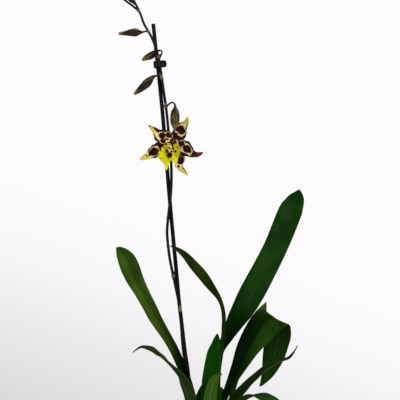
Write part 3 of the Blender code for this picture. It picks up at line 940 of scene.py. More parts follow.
@dataclass(frozen=True)
class PlainFinish:
    """A surface of two tones in soft patches, with a grain: bulb skin, dry sheath, plastic or steel."""

    dark: Colour
    light: Colour
    roughness: float
    specular: float = 0.5
    patch_scale: float = 40.0
    grain_scale: float = 600.0
    grain_depth: float = 0.0001
    streaks: float = 0.0
    coat: float = 0.0
    metallic: float = 0.0

    def skin(self, name: str) -> Material:
        """Return the material.

        Args:
            name: The material's name.

        Returns:
            The material.
        """
        bench = FinishBench(
            name, self.roughness, self.specular,
            Metallic=self.metallic, Coat_Weight=self.coat, Coat_Roughness=0.12,
        )
        tone = bench.effect(drifting_patches(), Scale=self.patch_scale, Seed=1.0)
        if self.streaks:
            skin = bench.surface_map()
            lines = bench.effect(lengthwise_streaks(), Place=skin, Across=self.streaks, Along=2.0)
            tone = bench.calc("MULTIPLY_ADD", tone, 0.5, bench.times(lines, 0.5))
        grain = bench.effect(fine_grain(), Scale=self.grain_scale)
        tone = bench.calc("MULTIPLY_ADD", bench.span(grain, 0.35, 0.65, -0.12, 0.12), 1.0, tone)
        dull = bench.span(grain, 0.3, 0.7, self.roughness - 0.07, self.roughness + 0.07)
        return bench.dress(bench.blend(tone, self.dark, self.light), grain, self.grain_depth, 0.6, dull)


class Surface(Enum):
    """The remaining finishes of the plant, its stake and its clip."""

    BULB = PlainFinish(
        (0.012, 0.024, 0.004), (0.050, 0.078, 0.018), 0.5, 0.25, 55.0, 700.0, 0.0001, 12.0,
    )
    DRY_SHEATH = PlainFinish(
        (0.16, 0.10, 0.045), (0.42, 0.32, 0.18), 0.7, 0.2, 90.0, 900.0, 0.0002, 30.0,
    )
    GREEN_SHEATH = PlainFinish(
        (0.006, 0.020, 0.004), (0.028, 0.052, 0.012), 0.55, 0.2, 60.0, 700.0, 0.0001, 20.0,
    )
    BRACT = PlainFinish(
        (0.05, 0.035, 0.02), (0.20, 0.16, 0.10), 0.6, 0.3, 200.0, 1200.0, 0.0001, 10.0,
    )
    STAKE = PlainFinish(
        (0.0012, 0.0014, 0.0012), (0.005, 0.006, 0.005), 0.5, 0.12, 30.0, 1500.0, 0.00012,
    )
    CLIP = PlainFinish(
        (0.0012, 0.0013, 0.0010), (0.007, 0.007, 0.006), 0.45, 0.12, 160.0, 1400.0, 0.00006,
    )
    STEEL = PlainFinish(
        (0.42, 0.42, 0.43), (0.62, 0.62, 0.62), 0.28, 0.5, 300.0, 2500.0, 0.00003, metallic=1.0,
    )
    HEART = PlainFinish(
        (0.012, 0.001, 0.002), (0.050, 0.006, 0.006), 0.5, 0.2, 300.0, 1500.0, 0.0001,
    )
    ANTHER = PlainFinish(
        (0.02, 0.003, 0.003), (0.11, 0.035, 0.025), 0.45, 0.3, 260.0, 1500.0, 0.00008,
    )

    def skin(self, name: str) -> Material:
        """Return the finish's material under the given name."""
        return self.value.skin(name)


@dataclass(frozen=True)
class CrestFinish:
    """The lip's crest: cream yellow with round maroon spots."""

    centre: Vector
    dull: Colour = (0.34, 0.25, 0.02)
    cream: Colour = (0.70, 0.58, 0.18)
    maroon: Colour = (0.022, 0.0015, 0.002)
    spots: tuple[tuple[float, float, float], ...] = (
        (-4.5, -15.8, 2.9), (-7.6, -11.2, 1.9), (-2.2, -11.6, 1.0), (-9.0, -7.6, 0.9),
        (-4.8, -7.4, 1.1), (-3.4, -9.4, 0.6), (-1.4, -8.2, 0.7),
    )

    def skin(self, name: str) -> Material:
        """Return the crest's material.

        Args:
            name: The material's name.

        Returns:
            The material.
        """
        bench = FinishBench(name, 0.5, 0.1)
        place = bench.place()
        patch = bench.effect(drifting_patches(), Scale=260.0, Seed=5.0)
        colour = bench.blend(patch, self.dull, self.cream)
        ragged = bench.ragged(place, 500.0, 0.0012)
        for across, height, size in self.spots:
            spot = bench.effect(
                round_blotch(), Place=ragged, Centre=self.centre + Vector((across, -9.0, height)) * MM,
                Size=(size * MM, 6 * MM, size * MM),
            )
            colour = bench.blend(spot, colour, self.maroon)
        return bench.dress(colour, patch, 0.2 * MM, 0.5)


@dataclass(frozen=True)
class BarkFinish:
    """Bark: fibrous red-brown chips, each of its own tone, on a bed painted dark as shade."""

    dark: Colour = (0.022, 0.012, 0.007)
    warm: Colour = (0.15, 0.075, 0.035)
    grey: Colour = (0.24, 0.19, 0.15)

    def skin(self, name: str) -> Material:
        """Return the material, which reads each chip's tone from its points.

        Args:
            name: The material's name.

        Returns:
            The material.
        """
        bench = FinishBench(name, 0.88, 0.2)
        place = bench.place()
        x, y, z = bench.split(place)
        stretched = bench.join(bench.times(x, 90), bench.times(y, 420), z)
        fibres = bench.noise(stretched, 1.0, 5.0, 0.7).outputs[0]
        grain = bench.effect(fine_grain(), Scale=420.0)
        chip = bench.attribute(TONE)
        tone = bench.calc("MULTIPLY_ADD", chip, 0.55, bench.span(fibres, 0.3, 0.7, 0, 0.5))
        colour = bench.blend(tone, self.dark, self.warm)
        colour = bench.tint(colour, self.grey, grain, 0.52, 0.72, 0.0, 0.55)
        height = bench.calc("ADD", fibres, grain)
        return bench.dress(colour, height, 0.9 * MM, 0.8)


@dataclass(frozen=True)
class GlazeFinish:
    """Warm white glaze with faint throwing rings, small flecks and a bare clay foot."""

    white: Colour = (0.66, 0.63, 0.57)
    shade: Colour = (0.54, 0.50, 0.43)
    fleck: Colour = (0.20, 0.14, 0.09)
    clay: Colour = (0.42, 0.26, 0.16)
    foot_height: float = 1.2 * MM

    def skin(self, name: str) -> Material:
        """Return the pot's material.

        Args:
            name: The material's name.

        Returns:
            The material.
        """
        bench = FinishBench(name, 0.3, 0.5, Coat_Weight=0.35, Coat_Roughness=0.1)
        place = bench.place()
        _, _, height = bench.split(place)
        patch = bench.effect(drifting_patches(), Scale=18.0, Seed=4.0)
        wobble = bench.noise(place, 14.0, 2.0).outputs[0]
        turns = bench.calc("MULTIPLY_ADD", height, 1500.0, bench.times(wobble, 6.0))
        rings = bench.calc("SINE", turns)
        colour = bench.blend(bench.times(patch, 0.6), self.white, self.shade)
        flecks = bench.span(bench.noise(place, 520.0, 1.0).outputs[0], 0.70, 0.76)
        colour = bench.blend(flecks, colour, self.fleck)
        bare = bench.span(height, self.foot_height * 0.6, self.foot_height * 1.4, 1.0, 0.0)
        colour = bench.blend(bare, colour, self.clay)
        relief = bench.calc("MULTIPLY_ADD", rings, 0.35, bench.effect(fine_grain(), Scale=240.0))
        return bench.dress(colour, relief, 0.16 * MM, 0.5, bench.span(bare, 0.0, 1.0, 0.3, 0.85))


# ---------------------------------------------------------------- leaves and petals


@dataclass
class Blade:
    """A leaf, sepal or petal: a folded sheet along a spine, with a ripple along its edges."""

    name: str
    stations: list[Row]
    columns: int = 18
    steps: int = 6
    thickness: float = 0.55
    groove: float = 0.0
    camber: float = 0.0
    ripple: float = 0.0
    ripples: float = 3.0
    ragged: float = 0.0
    crowding: float = 0.4

    def rows(self) -> list[Row]:
        """Return the smoothed stations."""
        return smooth_rows(self.stations, self.steps)

    def hint(self, row: Row, along: Vector) -> Vector:
        """Return where a leaf's right-hand edge points, from its turn and tilt.

        Args:
            row: The row at that place.
            along: The spine's direction there; not used here.

        Returns:
            The direction across.
        """
        turn, tilt = math.radians(row[4]), math.radians(row[5])
        level = math.cos(tilt)
        return Vector((math.cos(turn) * level, math.sin(turn) * level, -math.sin(tilt)))

    def place(self, row: Row) -> Vector:
        """Return a row's place on the spine in millimetres."""
        return Vector(row[:3])

    def fold(self, row: Row) -> float:
        """Return how far each half rises from flat, in radians."""
        return math.radians(row[6])

    def sheet(self) -> Cage:
        """Return the blade's sheet, bent and folded to its spine.

        Returns:
            The sheet as a new bmesh.
        """
        rows = self.rows()
        places = [self.place(row) for row in rows]
        last = len(rows) - 1
        cage = new_grid(self.columns, last)
        layer = cage.loops.layers.uv[BLADE_UV]
        sections = []
        for index, row in enumerate(rows):
            along = heading(places, index)
            hint = self.hint(row, along)
            across = (hint - along * hint.dot(along)).normalized()
            sections.append((across, across.cross(along)))
        for vertex in cage.verts:
            flat = vertex.co.x
            side = flat * (1 - self.crowding + self.crowding * flat * flat)
            for loop in vertex.link_loops:
                loop[layer].uv.x = (side + 1) / 2
            index = round((vertex.co.y + 1) / 2 * last)
            vertex.co = self.point(side, rows[index], places[index], sections[index], index / last) * MM
        return cage

    def point(
        self, side: float, row: Row, place: Vector, section: tuple[Vector, Vector], share: float,
    ) -> Vector:
        """Return a point of the blade.

        Args:
            side: How far across, from -1 to 1.
            row: The station row at this place.
            place: The spine's place.
            section: The across and normal directions.
            share: How far along, from 0 to 1.

        Returns:
            The point in millimetres.
        """
        across, normal = section
        half, fold = row[3], self.fold(row)
        phase = 1.3 if side > 0 else 4.1
        turns = math.tau * self.ripples * share
        wave = math.sin(turns + phase) + 0.5 * math.sin(2.3 * turns + 2 * phase)
        fade = min(1.0, 4 * share, 5 * (1 - share))
        half *= 1 + self.ragged * fade * math.sin(1.7 * turns + 3 * phase)
        rise = (math.sqrt(side * side + 0.01) - 0.1) * math.sin(fold) * half
        lift = rise - self.camber * half * side ** 4 - self.groove * bell(side, 0.09)
        lift += self.ripple * fade * abs(side) ** 2.5 * wave
        return place + across * (side * math.cos(fold) * half) + normal * lift

    def make(
        self, above: Material, beneath: Material, slot: str, stands_for: tuple[str, ...] = (),
    ) -> Piece:
        """Build the blade and dress it.

        Args:
            above: The upper side's material.
            beneath: The underside's material.
            slot: Not used.
            stands_for: The CAD nodes that it replaces.

        Returns:
            The finished piece.
        """
        piece = settle(self.name, self.sheet(), [above, beneath], stands_for)
        thicken(piece, self.thickness * MM, under_slots=True)
        return piece


@dataclass
class Petal(Blade):
    """A sepal, petal or lip, whose stations are x, forward, z, half width and fold about the centre."""

    thickness: float = 0.45
    columns: int = 20
    steps: int = 8

    def place(self, row: Row) -> Vector:
        """Return a row's place on the spine in millimetres."""
        return FLOWER_CENTRE + Vector((row[0], -row[1], row[2]))

    def hint(self, row: Row, along: Vector) -> Vector:
        """Return the direction across that shows the petal's face to the front."""
        return along.cross(FORWARDS).normalized()

    def fold(self, row: Row) -> float:
        """Return how far each half rises from flat, in radians."""
        return math.radians(row[4])


# ---------------------------------------------------------------- stems, buds and rods


@dataclass
class Rod:
    """A round piece along stations of x, y, z and radius: a stem, bud, stake, pin or wire."""

    name: str
    stations: list[Row]
    sides: int = 16
    steps: int = 5
    swellings: tuple[float, ...] = ()
    swelling: float = 0.28
    swelling_length: float = 1.5
    doming: float = 0.5

    def rows(self) -> list[Row]:
        """Return the smoothed stations with a closed, rounded end at each side.

        Returns:
            The rows as place and radius.
        """
        rows = smooth_rows(self.stations, self.steps)
        head = [self.cap(rows[0], rows[1], share) for share in (1.0, 0.75)]
        tail = [self.cap(rows[-1], rows[-2], share) for share in (0.75, 1.0)]
        return head + rows + tail

    def cap(self, end: Row, inner: Row, share: float) -> Row:
        """Return a row that rounds off an end, at its pole when the share is 1.

        Args:
            end: The row at the end.
            inner: The row next to it.
            share: How far out the new row lies.

        Returns:
            The new row.
        """
        outward = (Vector(end[:3]) - Vector(inner[:3])).normalized()
        radius = end[3]
        place = Vector(end[:3]) + outward * (radius * self.doming * share)
        return (*place, radius * math.sqrt(1 - share * share))

    def girth(self, angle: float, share: float) -> float:
        """Return how much thicker or thinner the rod is at an angle, as a factor."""
        return 1.0

    def sleeve(self) -> Cage:
        """Return the rod's closed skin, with the pale attribute at its swellings.

        Returns:
            The skin as a new bmesh.
        """
        rows = self.rows()
        places = [Vector(row[:3]) for row in rows]
        last = len(rows) - 1
        cage = new_grid(self.sides, last)
        pale = cage.verts.layers.float.new(PALE)
        start = heading(places, 2)
        across = start.orthogonal().normalized()
        frames = []
        for index in range(len(rows)):
            along = heading(places, min(max(index, 2), last - 2))
            across = (across - along * across.dot(along)).normalized()
            frames.append((across, along.cross(across)))
        for vertex in cage.verts:
            index = round((vertex.co.y + 1) / 2 * last)
            angle = math.pi * (vertex.co.x + 1)
            level = places[index].z
            swell = sum(bell(level - height, self.swelling_length) for height in self.swellings)
            vertex[pale] = min(1.0, swell)
            radius = rows[index][3] * self.girth(angle, index / last) * (1 + self.swelling * swell)
            first, second = frames[index]
            spoke = first * math.cos(angle) + second * math.sin(angle)
            vertex.co = (places[index] + spoke * radius) * MM
        bmesh.ops.remove_doubles(cage, verts=cage.verts, dist=MERGE)
        return cage

    def make(
        self, material: Material, slot: str, stands_for: tuple[str, ...] = (), body: str = PLANT,
    ) -> Piece:
        """Build the rod and dress it.

        Args:
            material: The rod's material.
            slot: Not used.
            stands_for: The CAD nodes that it replaces.
            body: The body that it rides on.

        Returns:
            The finished piece.
        """
        return settle(self.name, self.sleeve(), [material], stands_for, body)


@dataclass
class Bud(Rod):
    """A bud on its stalk: three closed sepals that meet in shallow seams, and a blunt, parted tip."""

    neck: int = 2
    sides: int = 30
    steps: int = 6
    seam_turn: float = 0.5
    seam_depth: float = 0.13
    rib_height: float = 0.025
    sepal_swell: float = 0.05
    parting_from: float = 0.88
    parting_depth: float = 0.2

    def neck_share(self) -> float:
        """Return how far along the stalk ends and the bud begins."""
        return self.neck / (len(self.stations) - 1)

    def girth(self, angle: float, share: float) -> float:
        """Return the seams, the swell of each sepal and the parted tip, as a factor.

        Args:
            angle: The angle around the bud.
            share: How far along it, from 0 to 1.

        Returns:
            The factor on the bud's radius.
        """
        grown = min(1.0, max(0.0, (share - self.neck_share()) * 6))
        third = math.tau / 3
        turned = angle + self.seam_turn
        seam = -self.seam_depth * bell(abs(turned % third - third / 2), 0.13)
        rib = self.rib_height * math.cos(9 * angle)
        swell = self.sepal_swell * math.cos(3 * turned)
        parted = max(0.0, (share - self.parting_from) / (1 - self.parting_from))
        return 1 + grown * (seam + rib + swell) - self.parting_depth * parted * math.cos(angle) ** 2


# ---------------------------------------------------------------- bulbs


@dataclass
class Pseudobulb:
    """A flattened, ridged bulb on the bark, wrapped at its foot by two sheaths."""

    name: str
    centre: tuple[float, float]
    half_width: float
    half_depth: float
    top: float
    sheath: Surface = Surface.DRY_SHEATH
    sheath_share: float = 0.42
    skin: Surface = Surface.BULB
    rows: int = 28
    sides: int = 44
    sunk: float = 1.0
    sheath_facings: tuple[float, float] = (-0.9, 2.2)
    sheath_wrap: float = 2.1
    sheath_thickness: float = 0.25

    def radius(self, level: float) -> float:
        """Return how wide the bulb is at a level from 0 at its foot to 1 at its top, as a share."""
        swell = math.sqrt(max(0.0, 1 - (1.7 * level - 0.7) ** 2))
        return swell * (1 - 0.35 * level)

    def point(self, angle: float, level: float, clearance: float = 0.0) -> Vector:
        """Return a point on the bulb's skin, or clear of it, in metres.

        Args:
            angle: The angle around the bulb.
            level: How far up it, from 0 to 1.
            clearance: How far off the skin, in millimetres.

        Returns:
            The point in metres.
        """
        floor = BARK_TOP / MM - self.sunk
        share = self.radius(level)
        ridge = 1 + 0.03 * math.sin(7 * angle) + 0.012 * math.sin(17 * angle + 1)
        x = self.centre[0] + math.cos(angle) * (self.half_width * share * ridge + clearance)
        y = self.centre[1] + math.sin(angle) * (self.half_depth * share * ridge + clearance)
        return Vector((x, y, floor + (self.top - floor) * level)) * MM

    def make(self, seed: int) -> None:
        """Build the bulb and its sheaths.

        Args:
            seed: The seed of the sheaths' ragged tops.
        """
        cage = new_grid(self.sides, self.rows)
        foot = math.asin(0.7)
        for vertex in cage.verts:
            latitude = -foot + (math.pi / 2 + foot) * (vertex.co.y + 1) / 2
            angle = math.pi * (vertex.co.x + 1)
            vertex.co = self.point(angle, (math.sin(latitude) + 0.7) / 1.7)
        bmesh.ops.remove_doubles(cage, verts=cage.verts, dist=MERGE)
        bmesh.ops.holes_fill(cage, edges=[edge for edge in cage.edges if edge.is_boundary])
        bmesh.ops.recalc_face_normals(cage, faces=cage.faces)
        skin = self.skin.skin(f"{self.name}_skin")
        settle(f"{self.name}_bulb", cage, [skin], (self.name,))
        for turn, facing in enumerate(self.sheath_facings):
            self.make_sheath(turn, facing, random.Random(seed + turn))

    def make_sheath(self, turn: int, facing: float, draw: random.Random) -> None:
        """Wrap one pointed sheath around the bulb's foot.

        Args:
            turn: The sheath's number, which sets it over the ones before.
            facing: The angle that the sheath's point faces.
            draw: The source of its ragged top.
        """
        cage = new_grid(36, 10)
        waves = [draw.uniform(0, math.tau) for _ in range(3)]
        for vertex in cage.verts:
            side = vertex.co.x
            level = (vertex.co.y + 1) / 2
            angle = facing + side * self.sheath_wrap
            bumps = (math.sin(count * side * 4 + wave) for count, wave in enumerate(waves, 1))
            ragged = 0.05 * sum(bumps)
            point = 0.35 + 0.65 * math.cos(side * math.pi / 2) ** 0.8
            reach = self.sheath_share * (point + ragged * (1 - side * side))
            curl = 0.5 * level ** 3 + 0.35 * bell(abs(side) - 1, 0.25)
            vertex.co = self.point(angle, level * max(reach, 0.08), 0.35 + 0.4 * turn + curl)
        material = self.sheath.skin(f"{self.name}_sheath_{turn + 1}_skin")
        piece = settle(f"{self.name}_sheath_{turn + 1}", cage, [material])
        thicken(piece, self.sheath_thickness * MM)


# ---------------------------------------------------------------- pot and bark


@dataclass
class Pot:
    """A plain tapered pot with a banded rim and drain holes, sized by its CAD node."""

    wall: float = 4 * MM
    band_height: float = 14 * MM
    band_depth: float = 2.5 * MM
    base_radius: float = 42 * MM
    drain_holes: int = 5
    drain_radius: float = 4.5 * MM
    drain_circle: float = 25 * MM
    rounding: float = 1.1 * MM
    turns: int = 96

    def __post_init__(self) -> None:
        """Read the pot's height and rim from the frame."""
        low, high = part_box("pot")
        self.height = high[2]
        self.rim_radius = (high[0] - low[0]) / 2

    def inner_radius(self, height: float) -> float:
        """Return the inside radius at a height.

        Args:
            height: The height in metres.

        Returns:
            The radius in metres.
        """
        low = self.base_radius - self.wall + 1 * MM
        high = self.rim_radius - self.band_depth - self.wall
        return low + (high - low) * (height - self.wall) / (self.height - self.wall)

    def profile(self) -> list[tuple[float, float]]:
        """Return the corners of the pot's section as radius and height, from the inside floor outwards.

        Returns:
            The corners in metres.
        """
        band_foot = self.height - self.band_height
        neck = self.rim_radius - self.band_depth
        return [
            (0.0, self.wall), (self.inner_radius(self.wall), self.wall),
            (self.inner_radius(self.height), self.height), (self.rim_radius, self.height),
            (self.rim_radius - 1.2 * MM, band_foot), (neck - 1.4 * MM, band_foot - 1.2 * MM),
            (self.base_radius + 0.6 * MM, 2 * MM), (self.base_radius - 1.2 * MM, 0.0), (0.0, 0.0),
        ]

    def turned(self, name: str, profile: list[tuple[float, float]], round_off: float) -> Piece:
        """Spin a profile into a closed body with rounded corners.

        Args:
            name: The piece's name.
            profile: Corners as radius and height.
            round_off: The radius that the inner corners are rounded to.

        Returns:
            The object, not yet on a body.
        """
        cage = bmesh.new()
        corners = [cage.verts.new((radius, 0, height)) for radius, height in profile]
        for first, second in zip(corners, corners[1:]):
            cage.edges.new((first, second))
        bmesh.ops.bevel(
            cage, geom=corners[1:-1], offset=round_off, segments=4, affect="VERTICES",
            profile=0.5, material=-1, clamp_overlap=True,
        )
        bmesh.ops.spin(
            cage, geom=cage.verts[:] + cage.edges[:], cent=(0, 0, 0), axis=(0, 0, 1), angle=math.tau,
            steps=self.turns, use_merge=True,
        )
        bmesh.ops.remove_doubles(cage, verts=cage.verts, dist=0.01 * MM)
        bmesh.ops.recalc_face_normals(cage, faces=cage.faces)
        return new_item(name, new_mesh(name, cage))

    def make(self) -> None:
        """Build the pot, cut its drain holes and dress it."""
        blank = self.turned("pot_blank", self.profile(), self.rounding)
        drills = []
        for index in range(self.drain_holes):
            angle = math.tau * (index + 0.25) / self.drain_holes
            cage = bmesh.new()
            bmesh.ops.create_cone(
                cage, cap_ends=True, segments=32, radius1=self.drain_radius, radius2=self.drain_radius,
                depth=4 * self.wall,
            )
            spot = Vector((math.cos(angle), math.sin(angle), 0)) * self.drain_circle
            bmesh.ops.translate(cage, verts=cage.verts, vec=spot)
            drills.append(new_item("drill", new_mesh("drill", cage)))
            blank.modifiers.new("drain_hole", "BOOLEAN").object = drills[-1]
        graph = bpy.context.evaluated_depsgraph_get()
        cage = bmesh.new()
        cage.from_mesh(bpy.data.meshes.new_from_object(blank.evaluated_get(graph)))
        for item in [blank, *drills]:
            bpy.data.objects.remove(item, do_unlink=True)
        skin = GlazeFinish().skin("pot_glaze_skin")
        piece = settle("glazed_pot", cage, [skin], ("pot",))
        piece.data.set_sharp_from_angle(angle=math.radians(SHARP))
        soften(piece, 0.3 * MM, SHARP)


@dataclass
class Bark:
    """The bark: loose chips on a bed painted dark as shade between them, kept inside the pot."""

    pot: Pot
    chips: int = 330
    bed_top: float = 93.5 * MM
    gap: float = 0.6 * MM
    edge_gap: float = 8.5 * MM
    heap: float = 5.0
    bed_rounding: float = 2 * MM
    seed: int = 7

    def make(self) -> None:
        """Build the bed and the chips."""
        floor = self.pot.wall + self.gap
        profile = [
            (0.0, self.bed_top), (self.pot.inner_radius(self.bed_top) - self.gap, self.bed_top),
            (self.pot.inner_radius(floor) - self.gap, floor), (0.0, floor),
        ]
        blank = self.pot.turned("bark_bed_blank", profile, self.bed_rounding)
        cage = bmesh.new()
        cage.from_mesh(blank.data)
        bpy.data.objects.remove(blank, do_unlink=True)
        # The bed's tone stays 0, the darkest: painted shade in the gaps between the chips.
        cage.verts.layers.float.new(TONE)
        skin = BarkFinish().skin("bark_skin")
        settle("bark_bed", cage, [skin], ("potting_bark",))
        settle("bark_chips", self.loose_chips(), [skin])

    def loose_chips(self) -> Cage:
        """Return all the chips, laid in a spiral from the middle outwards.

        Returns:
            The chips as one bmesh.
        """
        draw = random.Random(self.seed)
        cage = bmesh.new()
        tone = cage.verts.layers.float.new(TONE)
        reach = self.pot.inner_radius(BARK_TOP) - self.edge_gap
        golden = math.pi * (3 - math.sqrt(5))
        for index in range(self.chips):
            radius = reach * math.sqrt((index + 0.5) / self.chips)
            angle = index * golden
            layer = draw.random()
            size = Vector((draw.uniform(9, 16), draw.uniform(6, 10), draw.uniform(2.6, 4.6))) * MM
            chip = bmesh.ops.create_cube(cage, size=1.0)["verts"]
            edges = list({edge for vertex in chip for edge in vertex.link_edges})
            shaped = bmesh.ops.bevel(
                cage, geom=edges, offset=0.16, segments=1, affect="EDGES", profile=0.5, material=-1,
            )["verts"]
            shade = draw.random()
            spin = Matrix.Rotation(draw.uniform(0, math.tau), 3, "Z")
            pitch = Matrix.Rotation(draw.gauss(0, 0.42), 3, "X")
            turn = spin @ pitch @ Matrix.Rotation(draw.gauss(0, 0.34), 3, "Y")
            level = self.bed_top + self.heap * MM * layer
            spot = Vector((radius * math.cos(angle), radius * math.sin(angle), level))
            for vertex in shaped:
                vertex[tone] = shade
                jitter = Vector((draw.gauss(0, 0.05), draw.gauss(0, 0.06), draw.gauss(0, 0.07)))
                local = vertex.co + jitter
                vertex.co = spot + turn @ Vector((local.x * size.x, local.y * size.y, local.z * size.z))
        return cage


# ---------------------------------------------------------------- the claw clip


@dataclass
class ClawClip:
    """The sprung claw clip that holds the spike to its stake, hinged beside them."""

    height: float = 8.0
    band: float = 1.2
    pin_radius: float = 0.6
    ear_radius: float = 1.5
    rows: int = 76
    columns: int = 28
    lug_width: float = 1.0
    rib_places: tuple[float, ...] = (1.4, 2.5, 3.6)
    rib_height: float = 0.28
    grip_length: float = 4.0
    tooth_length: float = 0.27
    pin_reach: float = 4.2
    coil_radius: float = 1.05
    coil_height: float = 1.8
    coil_turns: float = 3.5
    coil_steps: int = 84
    wire_radius: float = 0.2
    leg_tip: tuple[float, float] = (-3.8, 2.4)

    @staticmethod
    def to_world(point: Vector) -> Vector:
        """Return the world place in metres of a point in the clip's own millimetres.

        Args:
            point: x towards the teeth, y forwards and z up the hinge.

        Returns:
            The place in metres.
        """
        rightwards = FORWARDS.cross(CLIP_UP)
        return CLIP_HINGE + (rightwards * point.x + FORWARDS * point.y + CLIP_UP * point.z) * MM

    def jaw_shape(self, line: list[Row]) -> Cage:
        """Return a jaw's band: rounded grip with ribs at its start, three blunt teeth at its end.

        Args:
            line: The band's centre line in the clip's own frame.

        Returns:
            The band as a new bmesh.
        """
        path = smooth_rows(line, 16)
        places = [Vector((x, y, 0)) for x, y in path]
        lengths = [0.0]
        for first, second in zip(places, places[1:]):
            lengths.append(lengths[-1] + (second - first).length)
        cage = new_grid(self.columns, self.rows)
        for vertex in cage.verts:
            side = vertex.co.x
            share = (vertex.co.y + 1) / 2
            gap = bell(abs(side) - 0.36, 0.19) + bell(abs(side) - 1.08, 0.17)
            travel = lengths[-1] * share * (1 - self.tooth_length * gap * share ** 8)
            index = max(i for i, length in enumerate(lengths[:-1]) if length <= travel + 1e-9)
            step = (travel - lengths[index]) / (lengths[index + 1] - lengths[index])
            spot = places[index].lerp(places[index + 1], step)
            along = (places[index + 1] - places[index]).normalized()
            outward = Vector((-along.y, along.x, 0))
            ribs = sum(bell(travel - rib, self.rib_height) for rib in self.rib_places)
            ribs = self.rib_height * ribs * (1 - side ** 6)
            grip = math.sqrt(max(0.04, 1 - (1 - min(1.0, travel / self.grip_length)) ** 2))
            tooth = 1 - 0.10 * max(0.0, (share - 0.86) / 0.14)
            tall = self.height / 2 * (0.3 + 0.7 * grip) * tooth
            sign = 1 if line[0][1] > 0 else -1
            vertex.co = self.to_world(spot + outward * ribs * sign + Vector((0, 0, side * tall)))
        if line[0][1] < 0:
            bmesh.ops.reverse_faces(cage, faces=cage.faces)
        return cage

    def make_jaw(self, name: str, line: list[Row], ear_offset: float, body: str, node: str) -> None:
        """Build one half of the clip with its two hinge ears.

        Args:
            name: The piece's name.
            line: The band's centre line as x and y in the clip's own frame.
            ear_offset: How far up and down the hinge the ears sit.
            body: The body that the jaw rides on.
            node: The CAD node that it replaces.
        """
        side = 1 if line[0][1] > 0 else -1
        skin = Surface.CLIP.skin(f"{name}_skin")
        piece = settle(name, self.jaw_shape(line), [skin], (node,), body)
        thicken(piece, self.band * MM)
        soften(piece, 0.3 * MM, 50)
        cage = bmesh.new()
        for sign in (-1, 1):
            lug = bmesh.ops.create_cone(
                cage, cap_ends=True, segments=32, radius1=self.ear_radius, radius2=self.ear_radius,
                depth=self.lug_width,
            )["verts"]
            web = bmesh.ops.create_cube(cage, size=1.0)["verts"]
            bmesh.ops.scale(cage, vec=(2.2, 2.4, self.lug_width), verts=web)
            bmesh.ops.translate(cage, vec=(-0.2, side * 1.5, 0), verts=web)
            bmesh.ops.translate(cage, vec=(0, 0, sign * ear_offset), verts=lug + web)
        for vertex in cage.verts:
            vertex.co = self.to_world(vertex.co)
        bmesh.ops.recalc_face_normals(cage, faces=cage.faces)
        ears = settle(f"{name}_ears", cage, [skin], (), body)
        ears.data.set_sharp_from_angle(angle=math.radians(SHARP))
        soften(ears, 0.18 * MM, SHARP)

    def make(self) -> None:
        """Build both jaws, the pin and the spring."""
        self.make_jaw("clip_front_half", FRONT_JAW_LINE, 3.3, CLIP_JAW, "clip_front_jaw")
        self.make_jaw("clip_back_half", BACK_JAW_LINE, 1.95, PLANT, "clip_back_jaw")
        steel = Surface.STEEL.skin("steel_skin")
        pin = [
            (*(self.to_world(Vector((0, 0, height))) / MM), self.pin_radius)
            for height in (-self.pin_reach, 0, self.pin_reach)
        ]
        Rod("clip_hinge_pin", pin, 24, 4).make(steel, "spring_steel", ("clip_pin",))
        end = self.coil_height / 2
        x, y = self.leg_tip
        path = [(x, y, -end), *self.coil(), (x, -y, end)]
        wire = [(*(self.to_world(Vector(point)) / MM), self.wire_radius) for point in path]
        spring = Rod("clip_spring_wire", wire, 10, 1).sleeve()
        ends = tuple(self.to_world(Vector((0, 0, height))) for height in (end, -end))
        settle("clip_spring_wire", spring, [steel], ("clip_spring",), CLIP_JAW, ends)

    def coil(self) -> list[Row]:
        """Return the points of the spring's turns in the clip's own frame.

        Returns:
            The points in millimetres.
        """
        points = []
        for step in range(self.coil_steps + 1):
            share = step / self.coil_steps
            angle = math.pi / 2 - math.tau * self.coil_turns * share
            x, y = self.coil_radius * math.cos(angle), self.coil_radius * math.sin(angle)
            points.append((x, y, self.coil_height * (share - 0.5)))
        return points


# ---------------------------------------------------------------- foliage


@dataclass
class Leaf(Blade):
    """A strap leaf with its finish and its CAD node."""

    finish: Foliage = Foliage.DEEP
    camber: float = 0.10
    groove: float = 0.35
    ripple: float = 0.5
    slot: str = "leaf"

    def grow(self) -> None:
        """Build the leaf and dress both its sides."""
        skin, node = self.finish.value, self.name
        self.name = f"{node}_blade"
        face, back = skin.above(f"{self.name}_face"), skin.beneath(f"{self.name}_back")
        self.make(face, back, self.slot, (node,))


